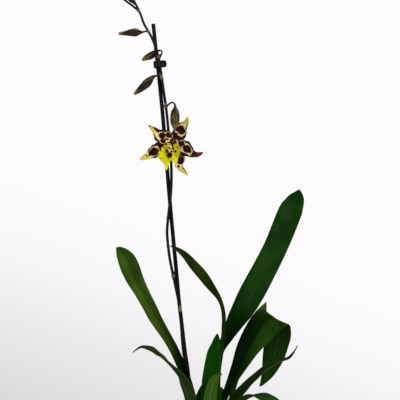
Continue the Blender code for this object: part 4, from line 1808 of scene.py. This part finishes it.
# Each leaf station: x, y, z, half width, turn, tilt, fold.
FOLIAGE = (
    Leaf("left_tall_leaf", [
        (-26.5, 2, 136, 8.5, -20, 0, 36), (-26.2, 1, 146, 9.4, -20, 0, 38),
        (-29.4, -1, 163, 8, -22, 0, 42), (-36, -1, 181, 7.4, -24, 0, 38),
        (-44, -1, 200, 7.4, -25, 0, 32), (-54, 0, 218, 8.2, -25, 0, 30),
        (-68.5, 0, 243, 10.2, -25, 0, 30), (-77, -1, 259, 10.4, -25, 0, 28),
        (-86, -3, 276, 10.6, -20, 0, 24), (-94, -5, 290, 12.2, -15, 0, 20),
        (-99.5, -7, 303, 12.5, -10, 0, 16), (-104.5, -9, 314, 11.2, -8, 0, 14),
        (-109.5, -11, 321.5, 8.2, -8, 0, 12), (-113.6, -13, 325.8, 4.4, -5, 0, 10),
        (-116.4, -14, 327.4, 0.6, -5, 0, 8),
    ], finish=Foliage.SUNLIT, ripple=0.8),
    Leaf("left_low_leaf", [
        (-21, -15, 99, 7, 165, 0, 26), (-26, -15.5, 122, 8.6, 155, 0, 26),
        (-30, -14.5, 145, 9.0, 142, 0, 28), (-36, -14, 164, 10.4, 142, -4, 28),
        (-46.5, -16, 180.5, 9.6, 124, -14, 28), (-58.2, -19, 194, 8.4, 106, -16, 24),
        (-70, -22, 203.6, 7.6, 95, -16, 20), (-79, -24, 209.2, 6.6, 92, -16, 16),
        (-88, -25, 209.6, 4.2, 90, -14, 14), (-96, -26, 204.4, 0.6, 90, -10, 10),
    ], finish=Foliage.DULL, ripple=0.7),
    Leaf("centre_arching_leaf", [
        (4.4, 15, 152, 3.4, 60, 0, 66), (4, 13, 158, 4.0, 60, 0, 62), (5.5, 13, 176, 4.0, 62, 0, 60),
        (7.5, 13, 195, 4.2, 64, 0, 55), (9.6, 12, 225, 4.6, 66, 0, 48), (10, 11, 243.5, 5.4, 68, 0, 42),
        (7.4, 10, 257.5, 6.8, 68, 0, 36), (0.7, 9, 269.5, 7.8, 62, -12, 30),
        (-10, 8, 285.5, 8.6, 55, -18, 24), (-22, 7, 301, 8.6, 52, -20, 20),
        (-33.5, 6, 315, 6.6, 52, -20, 16), (-44, 4, 324.5, 3.6, 55, -18, 12),
        (-53, 3, 329, 0.6, 60, -15, 10),
    ], finish=Foliage.ARCHING, ripple=0.5),
    Leaf("right_tall_leaf", [
        (6, 20, 152, 3.6, -12, 0, 66), (6, 20, 158, 4.2, -12, 0, 62), (6, 20, 177, 4.5, -12, 0, 58),
        (9, 20, 199, 5.3, -12, 0, 48), (15, 21, 213, 8.5, -14, 0, 38),
        (25.8, 23, 233, 12.4, -14, 0, 26), (34.4, 25, 247, 14.6, -14, 0, 20),
        (43, 28, 262, 16, -14, 0, 16), (54.5, 32, 283, 16.4, -14, 0, 14),
        (77, 40, 326, 15.5, -12, 0, 12), (94, 45, 367, 15.3, -10, 0, 12),
        (100.2, 46, 380, 12.5, -10, 0, 12), (104.2, 46, 389, 8.5, -10, 0, 12),
        (106.5, 46, 397, 0.8, -10, 0, 10),
    ], finish=Foliage.DEEP, ripple=0.9),
    Leaf("right_folded_leaf", [
        (17, -2.5, 123, 3.8, -30, 0, 60), (14.6, -4, 129, 4.8, -30, 0, 54),
        (14.4, -2.4, 146, 6.4, -30, 0, 50), (22.6, 4, 163, 9.2, -28, 0, 44),
        (33, 11, 182, 13, -25, 0, 34), (42, 20, 200, 16.6, -20, 6, 26),
        (53.5, 33, 217.5, 18.4, -12, 16, 13), (67, 49, 234, 18.6, -5, 33, -8),
        (78.2, 62, 235.8, 18.4, 0, 36, -14), (81.5, 71, 219, 17, 0, 22, -8), (80, 77, 202, 16, 0, 6, 8),
        (76, 81, 183, 14, 0, 0, 14), (70, 83, 165, 9, 0, 0, 16), (63, 84, 152, 3.5, 0, 0, 14),
        (59, 84, 147, 0.7, 0, 0, 12),
    ], finish=Foliage.FOLDED, ripple=0.5),
    Leaf("right_hidden_leaf", [
        (21, 4.5, 123, 3.6, -30, 0, 64), (21, 6, 129, 4.2, -30, 0, 60),
        (23.8, 16, 150, 5.5, -30, 0, 50), (31, 31, 175, 8, -26, 0, 38), (39, 48, 198, 9.5, -22, 0, 28),
        (49, 66, 220, 9, -16, 0, 20), (60, 77, 239, 7.6, -10, 0, 16), (67.2, 82, 254, 0.7, -8, 0, 12),
    ], finish=Foliage.SUNLIT, ripple=0.5),
    Leaf("right_narrow_leaf", [
        (14.6, -12.6, 97, 4.4, -60, 0, 52), (15, -13, 104, 5, -60, 0, 50),
        (18, -13, 132, 8.5, -56, 0, 40), (27.4, -14, 147, 10, -58, 6, 36),
        (38.6, -17, 160, 10.5, -64, 12, 34), (48.4, -19, 170.6, 9, -74, 14, 34),
        (58, -21, 180, 8, -78, 12, 32), (68, -23, 187.5, 6.6, -80, 10, 30),
        (79, -25, 193.5, 5.5, -82, 10, 28), (89, -26, 198, 4, -82, 8, 24),
        (94, -27, 205, 2.2, -80, 4, 20), (98, -28, 213, 0.6, -78, 0, 16),
    ], finish=Foliage.DULL, ripple=0.4),
    Leaf("front_right_leaf", [
        (22, -16, 100, 6, -120, 0, 46), (26, -21, 125, 8, -125, 0, 40),
        (34, -31, 146, 10.5, -130, 0, 30), (46, -44, 156, 12, -133, 0, 22),
        (58, -56, 155, 13, -135, 0, 18), (70, -68, 146, 12.5, -135, 0, 16),
        (80, -78, 131, 10.5, -135, 0, 14), (87, -85, 112, 6, -135, 0, 12),
        (90, -88, 98, 0.7, -135, 0, 10),
    ], finish=Foliage.BROAD, ripple=0.7),
    Leaf("young_leaf", [
        (-4, -15, 113, 4.6, 5, 0, 46), (-4, -15, 119, 6, 5, 0, 40), (-4, -13.5, 146, 11.8, 5, 0, 24),
        (-4, -13.5, 166, 12.2, 5, 0, 24), (-2, -13, 187, 11, 5, 0, 24), (-1, -13, 201, 8.5, 5, 0, 22),
        (2, -12, 212, 6, 5, 0, 20), (3, -12, 219, 3.8, 5, 0, 16), (4, -12, 225, 0.7, 5, 0, 12),
    ], finish=Foliage.YOUNG, ripple=0.6, slot="young_leaf"),
    Leaf("front_small_leaf", [
        (-4, -25, 99, 6, 175, 0, 30), (-5, -25.5, 125, 8.5, 175, 0, 26),
        (-5, -25.5, 148, 8.6, 178, 0, 24), (-3, -25, 162, 7.8, 180, 0, 24),
        (0, -24, 171, 6, 180, 0, 22), (4, -24, 176, 3.6, 180, 0, 18), (9, -24, 179, 0.7, 180, 0, 12),
    ], finish=Foliage.FRESH, ripple=0.4, slot="young_leaf"),
    Leaf("outer_sheath", [
        (-14.8, -12.4, 99, 5.2, 50, 0, 36), (-18, -13, 125, 7, 34, 0, 34),
        (-18.6, -12.5, 146, 6.4, 26, 0, 32), (-16.8, -12.5, 156, 4, 24, 0, 28),
        (-14.4, -12.5, 164, 0.7, 24, 0, 20),
    ], finish=Foliage.YOUNG, ripple=0.3),
)

BULBS = (
    Pseudobulb("left_pseudobulb", (-29, 0), 13, 9, 143),
    Pseudobulb("back_pseudobulb", (8, 19), 13, 8.5, 157),
    Pseudobulb("right_pseudobulb", (21, 0), 10.5, 8, 128),
    Pseudobulb(
        "young_growth", (-4, -15), 8, 6.3, 118, Surface.GREEN_SHEATH, 0.85, Surface.GREEN_SHEATH,
    ),
)


@dataclass
class Growth:
    """The bulbs in the bark and the leaves that rise from them."""

    bulbs: tuple[Pseudobulb, ...] = BULBS
    leaves: tuple[Leaf, ...] = FOLIAGE

    def make(self) -> None:
        """Build every bulb and leaf."""
        for seed, bulb in enumerate(self.bulbs):
            bulb.make(seed * 10)
        for leaf in self.leaves:
            leaf.grow()


# ---------------------------------------------------------------- the spike and its buds


SPIKE = [
    (-23, 12.9, 95, 2.1), (-26, 13, 142, 2.0), (-31, 13, 166, 1.9), (-37, 13, 202, 1.85),
    (-41, 13, 250, 1.85), (-46.8, 13, 281, 1.75), (-53.2, 13, 312, 1.7), (-56.4, 13, 339, 1.7),
    (-56, 13, 357, 1.7), (-52, 13, 394, 1.7), (-51.5, 13, 423, 1.7), (-53.6, 13, 451, 1.7),
    (-57, 13, 488, 1.7), (-61, 13, 517, 1.7), (-63.7, 13, 536, 1.65), (-65.8, 13.2, 550, 1.6),
    (-70.3, 13.2, 568, 1.5), (-76.4, 13.2, 583, 1.5), (-84.4, 13, 597, 1.5), (-89.8, 13, 611, 1.45),
    (-96.6, 12, 617.5, 1.35), (-106.4, 10, 624.6, 1.3), (-119, 9, 634, 1.1), (-131, 8, 646, 0.9),
    (-140, 8, 658, 0.6),
]
STAKE = [
    (-14.7, 18, 20, 2.25), (-22.9, 18, 97, 2.25), (-30.8, 18, 171, 2.3), (-35.2, 18, 201, 2.4),
    (-39.2, 18, 235, 2.45), (-42.4, 18, 262, 2.45), (-44.9, 18, 290, 2.45), (-53.6, 18, 384, 2.45),
    (-62.2, 18, 488, 2.4), (-68.5, 18, 549, 2.25), (-73.6, 18, 598, 2.45),
]
STALK = [
    (-53.2, 12.6, 436, 0.9), (-53.2, 10.6, 438, 1.0), (-53.5, 5, 441, 1.0), (-51.5, -2, 447, 1.3),
    (-49, -6.5, 452, 1.7), (-48.3, -9.8, 453, 1.5),
]

# Each bud: which of its stations ends its stalk, how dark it is, and the stations.
BUDS = {
    "upper_left_bud": (2, 0.07, [
        (-80.4, 13, 588.8, 1.1), (-86, 10, 587, 1.3), (-90, 8, 586.4, 3.0), (-94, 6, 586, 4.7),
        (-99, 5, 585.6, 4.4), (-107, 3.5, 584.6, 2.7), (-114, 2, 584, 1.7),
    ]),
    "stake_bud": (4, -0.07, [
        (-66.4, 13, 554.6, 1.6), (-65.3, 13.8, 558.2, 1.6), (-63.2, 16, 562, 0.95),
        (-63.6, 20, 565.2, 1.0), (-67, 24, 566.4, 1.2), (-71, 25.5, 564, 3.5), (-76, 25.5, 560.5, 4.4),
        (-82, 25.5, 557.8, 3.6), (-87, 25.5, 555.2, 1.9),
    ]),
    "lower_left_bud": (2, 0.04, [
        (-63.6, 12.4, 534, 1.1), (-70, 9, 534, 1.3), (-74, 8, 532, 2.6), (-78.5, 7.6, 527.6, 4.6),
        (-83, 7, 523, 4.9), (-90, 6, 516.6, 3.4), (-95.6, 5.4, 511.8, 1.8),
    ]),
    "hanging_bud": (4, 0.01, [
        (-58, 12.4, 496, 1.1), (-54, 4, 499.6, 1.05), (-50, -8, 500.4, 1.05), (-47, -17, 498, 1.1),
        (-46.2, -19.6, 494, 1.8), (-46.2, -20, 488.6, 4.7), (-46.3, -20, 482, 5.6),
        (-46.4, -20, 475.6, 5.2), (-46.4, -19.6, 470.4, 3.8),
    ]),
    "top_bud": (1, 0.04, [
        (-90.2, 12.6, 613, 1.2), (-94.4, 9, 620.2, 1.5), (-99, 7.6, 625, 3.4), (-102.5, 6.4, 630, 4.2),
        (-107, 5.2, 635.6, 3.0), (-112, 4, 641, 1.2),
    ]),
    "tip_bud_left": (1, 0.0, [
        (-121.4, 8.8, 636, 0.9), (-130, 5.8, 637.4, 1.2), (-135.5, 4.4, 638.4, 2.6),
        (-140, 3.4, 639.4, 2.0), (-144, 2.8, 640, 0.9),
    ]),
    "tip_bud_right": (1, 0.0, [
        (-133.6, 7.6, 648.6, 0.6), (-131, 5.2, 654, 1.0), (-129.4, 4.2, 658, 2.2),
        (-128, 3.6, 662, 1.6), (-127, 3.2, 665, 0.8),
    ]),
}


@dataclass
class FlowerSpike:
    """The spike with its nodes, bracts and buds, and the stake beside it."""

    nodes: tuple[float, ...] = (250.8, 292.0, 531.3, 613.0)
    forks: tuple[float, ...] = (438.0, 497.0, 557.0, 588.0)
    spike_steps: int = 18
    node_bract: float = 8.0
    fork_bract: float = 5.0
    bract_thickness: float = 0.2

    def make(self) -> None:
        """Build the stake, the spike, its bracts and its buds."""
        stake_skin = Surface.STAKE.skin("stake_skin")
        Rod("coated_stake", STAKE, 24, 8, doming=0.12).make(stake_skin, "stake_coating", ("stake",))
        skin = StemFinish().skin("spike_skin")
        spike = Rod("spike_stem", SPIKE, 20, self.spike_steps, (*self.nodes, *self.forks))
        spike.make(skin, "spike_skin", ("flower_spike",))
        Rod("flower_stem", STALK, 18, 8).make(skin, "spike_skin", ("flower_stalk",))
        self.make_bracts()
        for name, (neck, darkness, stations) in BUDS.items():
            bud_skin = BudFinish(neck / (len(stations) - 1), darkness).skin(f"{name}_skin")
            Bud(f"{name}_closed", stations, neck=neck).make(bud_skin, "bud_skin", (name,))

    def make_bracts(self) -> None:
        """Build a small papery scale above each node and fork."""
        skin = Surface.BRACT.skin("bract_skin")
        rows = smooth_rows(SPIKE, self.spike_steps)
        for number, height in enumerate((*self.nodes, *self.forks), 1):
            index = min(range(len(rows)), key=lambda item: abs(rows[item][2] - height))
            length = self.node_bract if height in self.nodes else self.fork_bract
            self.make_bract(f"bract_{number}", rows, index, length, 1.9 + 2.4 * number, skin)

    def make_bract(
        self, name: str, rows: list[Row], index: int, length: float, facing: float, skin: Material,
    ) -> None:
        """Build one scale that wraps part of the stem.

        Args:
            name: The piece's name.
            rows: The stem's rows.
            index: The row where the scale starts.
            length: The scale's length in millimetres.
            facing: The angle around the stem that it faces.
            skin: The scale's material.
        """
        root = Vector(rows[index][:3])
        along = heading([Vector(row[:3]) for row in rows], index)
        first = along.orthogonal().normalized()
        second = along.cross(first)
        cage = new_grid(12, 10)
        for vertex in cage.verts:
            share = (vertex.co.y + 1) / 2
            angle = facing + vertex.co.x * 2.0 * (1 - share ** 1.6)
            radius = rows[index][3] * (1.34 - 0.2 * share) + 0.9 * share ** 3
            spoke = first * math.cos(angle) + second * math.sin(angle)
            vertex.co = (root + along * (share * length - 0.8) + spoke * radius) * MM
        piece = settle(name, cage, [skin])
        thicken(piece, self.bract_thickness * MM)


# ---------------------------------------------------------------- the open flower


def blotched(*ovals: tuple[float, ...]) -> tuple[Blotch, ...]:
    """Return blotches from ovals of across, along, width, length and, for some, the ring around it."""
    return tuple(Blotch(*oval) for oval in ovals)


# Each petal: its finish, ripple, and stations of x, forward, z, half width and fold about the centre.
PETALS = {
    "dorsal_sepal": (PetalFinish(blotched(
        (0.5, 0.03, 0.9, 0.19), (0.52, 0.43, 0.33, 0.128, 0.022), (1.0, 0.62, 0.14, 0.16),
        (0.0, 0.55, 0.12, 0.10),
    ), margin_to=0.5), 0.7, [
        (0.2, -2.4, 1.2, 4.4, 14), (3.6, -2.2, 5.7, 7.4, 12), (6.8, -2.0, 10.2, 8.4, 8),
        (8.6, -1.8, 14.8, 8.0, 8), (11.1, -1.4, 18.8, 5.8, 8), (14.2, -0.6, 22.2, 3.6, 10),
        (15.8, 0.4, 25.4, 2.6, 12), (16.8, 1.4, 30.0, 0.6, 12),
    ]),
    "left_petal": (PetalFinish(blotched(
        (0.62, 0.45, 0.22, 0.117, 0.018), (0.70, 0.21, 0.16, 0.095, 0.018),
        (0.40, 0.24, 0.06, 0.085, 0.02), (0.26, 0.37, 0.12, 0.075, 0.02), (0.95, 0.72, 0.34, 0.14),
        (0.5, 1.0, 0.6, 0.05), (0.5, 0.0, 0.6, 0.08),
    ), margin_to=0.62), 0.8, [
        (-1.2, 1.0, 1.8, 3.4, 14), (-4.5, 1.2, 4.0, 7.4, 8), (-8.6, 1.5, 5.1, 8.8, 4),
        (-13.4, 1.6, 5.8, 8.6, 4), (-17.4, 1.2, 8.7, 7.2, 6), (-21.2, 0.4, 12.6, 4.4, 10),
        (-25.0, -0.4, 16.2, 2.6, 12), (-29.6, -1.0, 20.0, 0.6, 12),
    ]),
    "right_petal": (PetalFinish(blotched(
        (0.28, 0.215, 0.15, 0.100, 0.017), (0.44, 0.445, 0.21, 0.105, 0.017),
        (0.5, 0.25, 0.045, 0.065, 0.02), (0.66, 0.27, 0.055, 0.05, 0.02), (1.0, 0.42, 0.24, 0.14),
        (0.5, 0.82, 0.7, 0.20),
    ), margin_to=0.9, tip=(0.30, 0.20, 0.03)), 0.8, [
        (1.4, 0.8, 0.0, 3.4, 14), (5.0, 1.2, -3.0, 7.6, 8), (9.4, 1.5, -5.9, 9.4, 4),
        (15.4, 1.6, -9.3, 9.0, 4), (20.8, 1.2, -13.0, 5.4, 6), (26.3, 0.2, -15.0, 3.3, 10),
        (31.2, -0.8, -14.2, 2.3, 12), (35.1, -1.6, -12.2, 0.6, 12),
    ]),
    "lower_left_sepal": (PetalFinish(blotched(
        (0.52, 0.51, 0.27, 0.154, 0.018), (0.5, 0.05, 0.8, 0.23), (0.60, 0.76, 0.08, 0.035),
        (0.38, 0.72, 0.06, 0.02),
    ), margin_to=0.58), 0.7, [
        (-2.4, -2.0, -1.8, 3.0, 14), (-10.0, -2.0, -5.5, 6.4, 10), (-16.4, -1.8, -8.0, 8.2, 8),
        (-21.2, -1.4, -10.8, 8.3, 8), (-25.7, -1.0, -13.3, 6.6, 8), (-30.3, -0.4, -16.3, 4.6, 10),
        (-34.8, 0.4, -18.6, 3.2, 12), (-40.0, 1.2, -20.4, 0.8, 12),
    ]),
    "lower_right_sepal": (PetalFinish(blotched(
        (0.46, 0.425, 0.34, 0.122, 0.025), (0.62, 0.645, 0.18, 0.04), (0.5, 0.06, 0.8, 0.18),
        (0.1, 0.86, 0.12, 0.10),
    ), margin_to=0.8, margin_width=0.14), 0.6, [
        (0.8, -2.0, -1.6, 3.0, 14), (4.4, -2.0, -10.0, 5.0, 10), (7.6, -2.0, -17.5, 5.8, 8),
        (7.4, -1.8, -22.8, 5.6, 8), (6.2, -1.4, -26.6, 4.9, 8), (8.0, -0.8, -30.4, 3.7, 10),
        (11.4, 0.2, -34.2, 2.7, 12), (17.2, 1.6, -39.6, 0.6, 12),
    ]),
}
LIP = [
    (-3.4, 2.6, -2.0, 4.0, -6), (-4.6, 5.0, -7.0, 7.4, 6), (-6.0, 6.4, -11.5, 9.0, 4),
    (-7.6, 7.0, -16.4, 10.6, -4), (-8.2, 7.0, -19.8, 10.0, -10), (-8.2, 6.4, -22.6, 6.8, -12),
    (-8.1, 5.4, -25.6, 3.6, -12), (-8.2, 4.4, -29.0, 2.2, -10), (-8.4, 3.4, -33.4, 0.6, -8),
]
# Each side lobe of the lip: whether it is olive, and its stations.
LOBES = {
    "left_side_lobe": (True, [
        (-3.0, 5.0, -3.6, 1.6, 10), (-5.6, 7.0, -4.4, 3.0, 10), (-8.6, 7.6, -5.6, 3.2, 10),
        (-11.4, 7.4, -7.4, 1.4, 10),
    ]),
    "right_side_lobe": (True, [
        (0.6, 5.0, -3.4, 1.6, 10), (3.2, 7.4, -6.0, 3.2, 10), (5.0, 8.2, -10.0, 3.4, 10),
        (5.0, 8.2, -14.4, 2.8, 10), (3.8, 7.6, -18.0, 0.8, 10),
    ]),
    "front_side_lobe": (False, [
        (-2.4, 5.6, -8.0, 3.0, 6), (-0.8, 7.0, -13.0, 4.6, 4), (0.8, 7.4, -18.0, 5.0, -4),
        (2.0, 7.0, -22.4, 3.4, -8), (3.2, 6.2, -26.2, 0.7, -8),
    ]),
}
HEART = [
    (-48.3, -9.0, 453.0, 1.7), (-48.3, -10.4, 453.0, 3.6), (-48.3, -12.0, 453.0, 5.0),
    (-48.3, -13.2, 453.0, 4.4), (-48.3, -13.9, 453.0, 2.6),
]
COLUMN = [
    (-48.3, -9.6, 453.2, 1.6), (-48.3, -11.0, 453.6, 1.7), (-48.3, -13.5, 454.0, 1.9),
    (-48.4, -16.5, 453.6, 2.1), (-48.6, -18.2, 452.8, 1.7),
]


@dataclass
class OpenFlower:
    """The open flower: three sepals, two petals, the yellow lip with its crest, and the column."""

    yellow: Colour = (0.63, 0.59, 0.001)
    bright: Colour = (0.75, 0.69, 0.002)
    crest_stations: tuple[Row, ...] = (
        (-3.4, 7.0, -4.6, 1.6), (-4.8, 6.8, -7.6, 4.2), (-5.2, 6.8, -10.8, 4.6),
        (-4.8, 7.2, -14.0, 4.0), (-4.6, 7.4, -17.0, 3.0), (-4.6, 7.2, -19.2, 1.6),
    )

    def make(self) -> None:
        """Build the flower from its back to its front."""
        for name, (finish, ripple, stations) in PETALS.items():
            blade = Petal(
                f"{name}_blade", stations, ripple=ripple, ripples=3.5, ragged=0.06, camber=0.12,
            )
            blade.make(finish.above(f"{name}_face"), finish.beneath(f"{name}_back"), "petal", (name,))
        self.make_lip()
        self.make_crest()
        self.make_column()

    def lip_finish(self) -> PetalFinish:
        """Return the lip's finish: yellow, with maroon marks at its throat.

        Returns:
            The finish.
        """
        return PetalFinish(
            blotched((0.22, 0.24, 0.05, 0.04), (0.5, 0.05, 0.5, 0.05)),
            margin_to=0.001, tip=self.bright, ground=self.yellow, margin_width=0.0,
            streaks=(0.50, 0.44, 0.001),
        )

    def dull_finish(self) -> PetalFinish:
        """Return the side lobes' finish: olive yellow with a few dark marks.

        Returns:
            The finish.
        """
        return PetalFinish(
            blotched((0.86, 0.58, 0.14, 0.09), (0.35, 0.34, 0.10, 0.05)),
            margin_to=0.001, tip=(0.40, 0.34, 0.006), ground=(0.40, 0.34, 0.008), margin_width=0.0,
            streaks=(0.26, 0.20, 0.01),
        )

    def make_lip(self) -> None:
        """Build the ruffled lip and its side lobes."""
        finish = self.lip_finish()
        face, back = finish.above("lip_face"), finish.beneath("lip_back")
        dull_face = self.dull_finish().above("side_lobe_face")
        lip = Petal(
            "lip_blade", LIP, ripple=1.5, ripples=4.5, ragged=0.10, camber=0.10, columns=28, steps=9,
        )
        lip.make(face, back, "lip", ("lip",))
        for name, (olive, stations) in LOBES.items():
            lobe = Petal(name, stations, ripple=0.5, ripples=2.5, ragged=0.08)
            lobe.make(dull_face if olive else face, back, "lip")

    def make_crest(self) -> None:
        """Build the raised crest at the lip's throat."""
        stations = [
            (FLOWER_CENTRE.x + x, FLOWER_CENTRE.y - forward, FLOWER_CENTRE.z + height, radius)
            for x, forward, height, radius in self.crest_stations
        ]
        skin = CrestFinish(FLOWER_CENTRE * MM).skin("crest_skin")
        Bud("lip_crest", stations, neck=0, sides=36, steps=7).make(skin, "lip")

    def make_column(self) -> None:
        """Build the dark heart behind the petals and the column with the anther cap at its end."""
        heart = Surface.HEART.skin("heart_skin")
        Rod("flower_heart", HEART, 28, 6).make(heart, "petal")
        skin = Surface.ANTHER.skin("anther_skin")
        Rod("flower_column", COLUMN, 24, 6).make(skin, "lip", ("column",))


# ---------------------------------------------------------------- studio


@dataclass
class Studio:
    """The camera, the floor, the soft lamps and the pale surroundings."""

    camera_place: tuple[float, float, float] = (-0.0168, -1.400, 0.384)
    lens: float = 105.0
    aim: tuple[float, float, float] = (-0.02, 0.0, 0.36)
    floor_radius: float = 0.8
    ambient: float = 0.22
    # Stops of the backdrop's grey, from its lower left to its upper right: painted shade on the wall.
    backdrop_painted_shade: tuple[tuple[float, float], ...] = (
        (0.38, 0.68), (0.42, 0.81), (0.45, 0.925), (0.48, 0.958), (0.62, 0.972),
    )
    lamps: tuple[tuple[str, tuple[float, float, float], float, float], ...] = (
        ("key_lamp", (0.9, -1.2, 1.5), 33.0, 0.9), ("fill_lamp", (-1.2, -1.0, 0.6), 10.0, 1.1),
        ("rim_lamp", (0.2, 1.0, 1.4), 5.0, 0.9),
    )

    def make(self) -> None:
        """Build the whole studio."""
        self.make_camera()
        self.make_floor()
        for name, place, power, size in self.lamps:
            self.make_lamp(name, Vector(place), power, size)
        self.make_surroundings()
        bpy.context.scene.view_settings.view_transform = "Standard"

    def make_camera(self) -> None:
        """Build the camera, which looks level at the plant from the front."""
        data = bpy.data.cameras.new("camera")
        data.lens = self.lens
        data.sensor_width = 36.0
        data.clip_start = 0.05
        camera = new_item("camera", data)
        camera.location = self.camera_place
        camera.rotation_euler = (math.pi / 2, 0.0, 0.0)
        bpy.context.scene.camera = camera

    def make_floor(self) -> None:
        """Build the round pale floor."""
        cage = bmesh.new()
        bmesh.ops.create_circle(cage, cap_ends=True, segments=128, radius=self.floor_radius)
        mesh = new_mesh("floor", cage)
        bench = FinishBench("floor_paint", 0.7, 0.25)
        patch = bench.effect(drifting_patches(), Scale=6.0, Seed=9.0)
        colour = bench.blend(patch, (0.80, 0.80, 0.79), (0.84, 0.84, 0.835))
        mesh.materials.append(bench.dress(colour))
        floor = new_item("floor", mesh)

    def make_lamp(self, name: str, place: Vector, power: float, size: float) -> None:
        """Build one soft square lamp that faces the middle of the plant.

        Args:
            name: The lamp's name.
            place: Where it hangs, in metres.
            power: Its power in watts.
            size: The length of its side in metres.
        """
        data = bpy.data.lights.new(name, "AREA")
        data.energy = power
        data.size = size
        lamp = new_item(name, data)
        lamp.location = place
        lamp.rotation_euler = (Vector(self.aim) - place).to_track_quat("-Z", "Y").to_euler()
        lamp.visible_camera = False

    def make_surroundings(self) -> None:
        """Build the pale surroundings, brighter upwards, with a weaker light on the plant."""
        world = bpy.data.worlds.new("surroundings")
        world.use_nodes = True
        bpy.context.scene.world = world
        bench = NodeBench(world.node_tree)
        # Painted shade on the backdrop: the grey that the camera sees darkens downwards and to the
        # left.
        x, _, z = bench.split(bench.add("ShaderNodeTexCoord").outputs["Generated"])
        slope = bench.calc("MULTIPLY_ADD", x, 0.35, z)
        shade = bench.add("ShaderNodeValToRGB")
        stops = shade.color_ramp.elements
        for position, grey in self.backdrop_painted_shade[1:-1]:
            stops.new(position)
        for stop, (position, grey) in zip(stops, self.backdrop_painted_shade):
            stop.position = position
            stop.color = (grey, grey, grey, 1.0)
        bench.feed(shade.inputs[0], bench.calc("MULTIPLY_ADD", slope, 0.5, 0.5))
        seen = bench.add("ShaderNodeBackground")
        bench.feed(seen.inputs["Color"], shade.outputs[0])
        light = bench.add("ShaderNodeBackground")
        light.inputs["Color"].default_value = (1.0, 1.0, 1.0, 1.0)
        light.inputs["Strength"].default_value = self.ambient
        mix = bench.add("ShaderNodeMixShader")
        bench.feed(mix.inputs[0], bench.add("ShaderNodeLightPath").outputs["Is Camera Ray"])
        bench.feed(mix.inputs[1], light.outputs[0])
        bench.feed(mix.inputs[2], seen.outputs[0])
        output = next(node for node in world.node_tree.nodes if node.type == "OUTPUT_WORLD")
        bench.feed(output.inputs["Surface"], mix.outputs[0])


# ---------------------------------------------------------------- assembly


def main() -> None:
    """Build the studio and the potted orchid, piece by piece."""
    logging.basicConfig(level=logging.INFO, format="%(name)s: %(message)s")
    Studio().make()
    pot = Pot()
    pot.make()
    Bark(pot).make()
    Growth().make()
    FlowerSpike().make()
    OpenFlower().make()
    ClawClip().make()


if __name__ == "__main__":
    main()
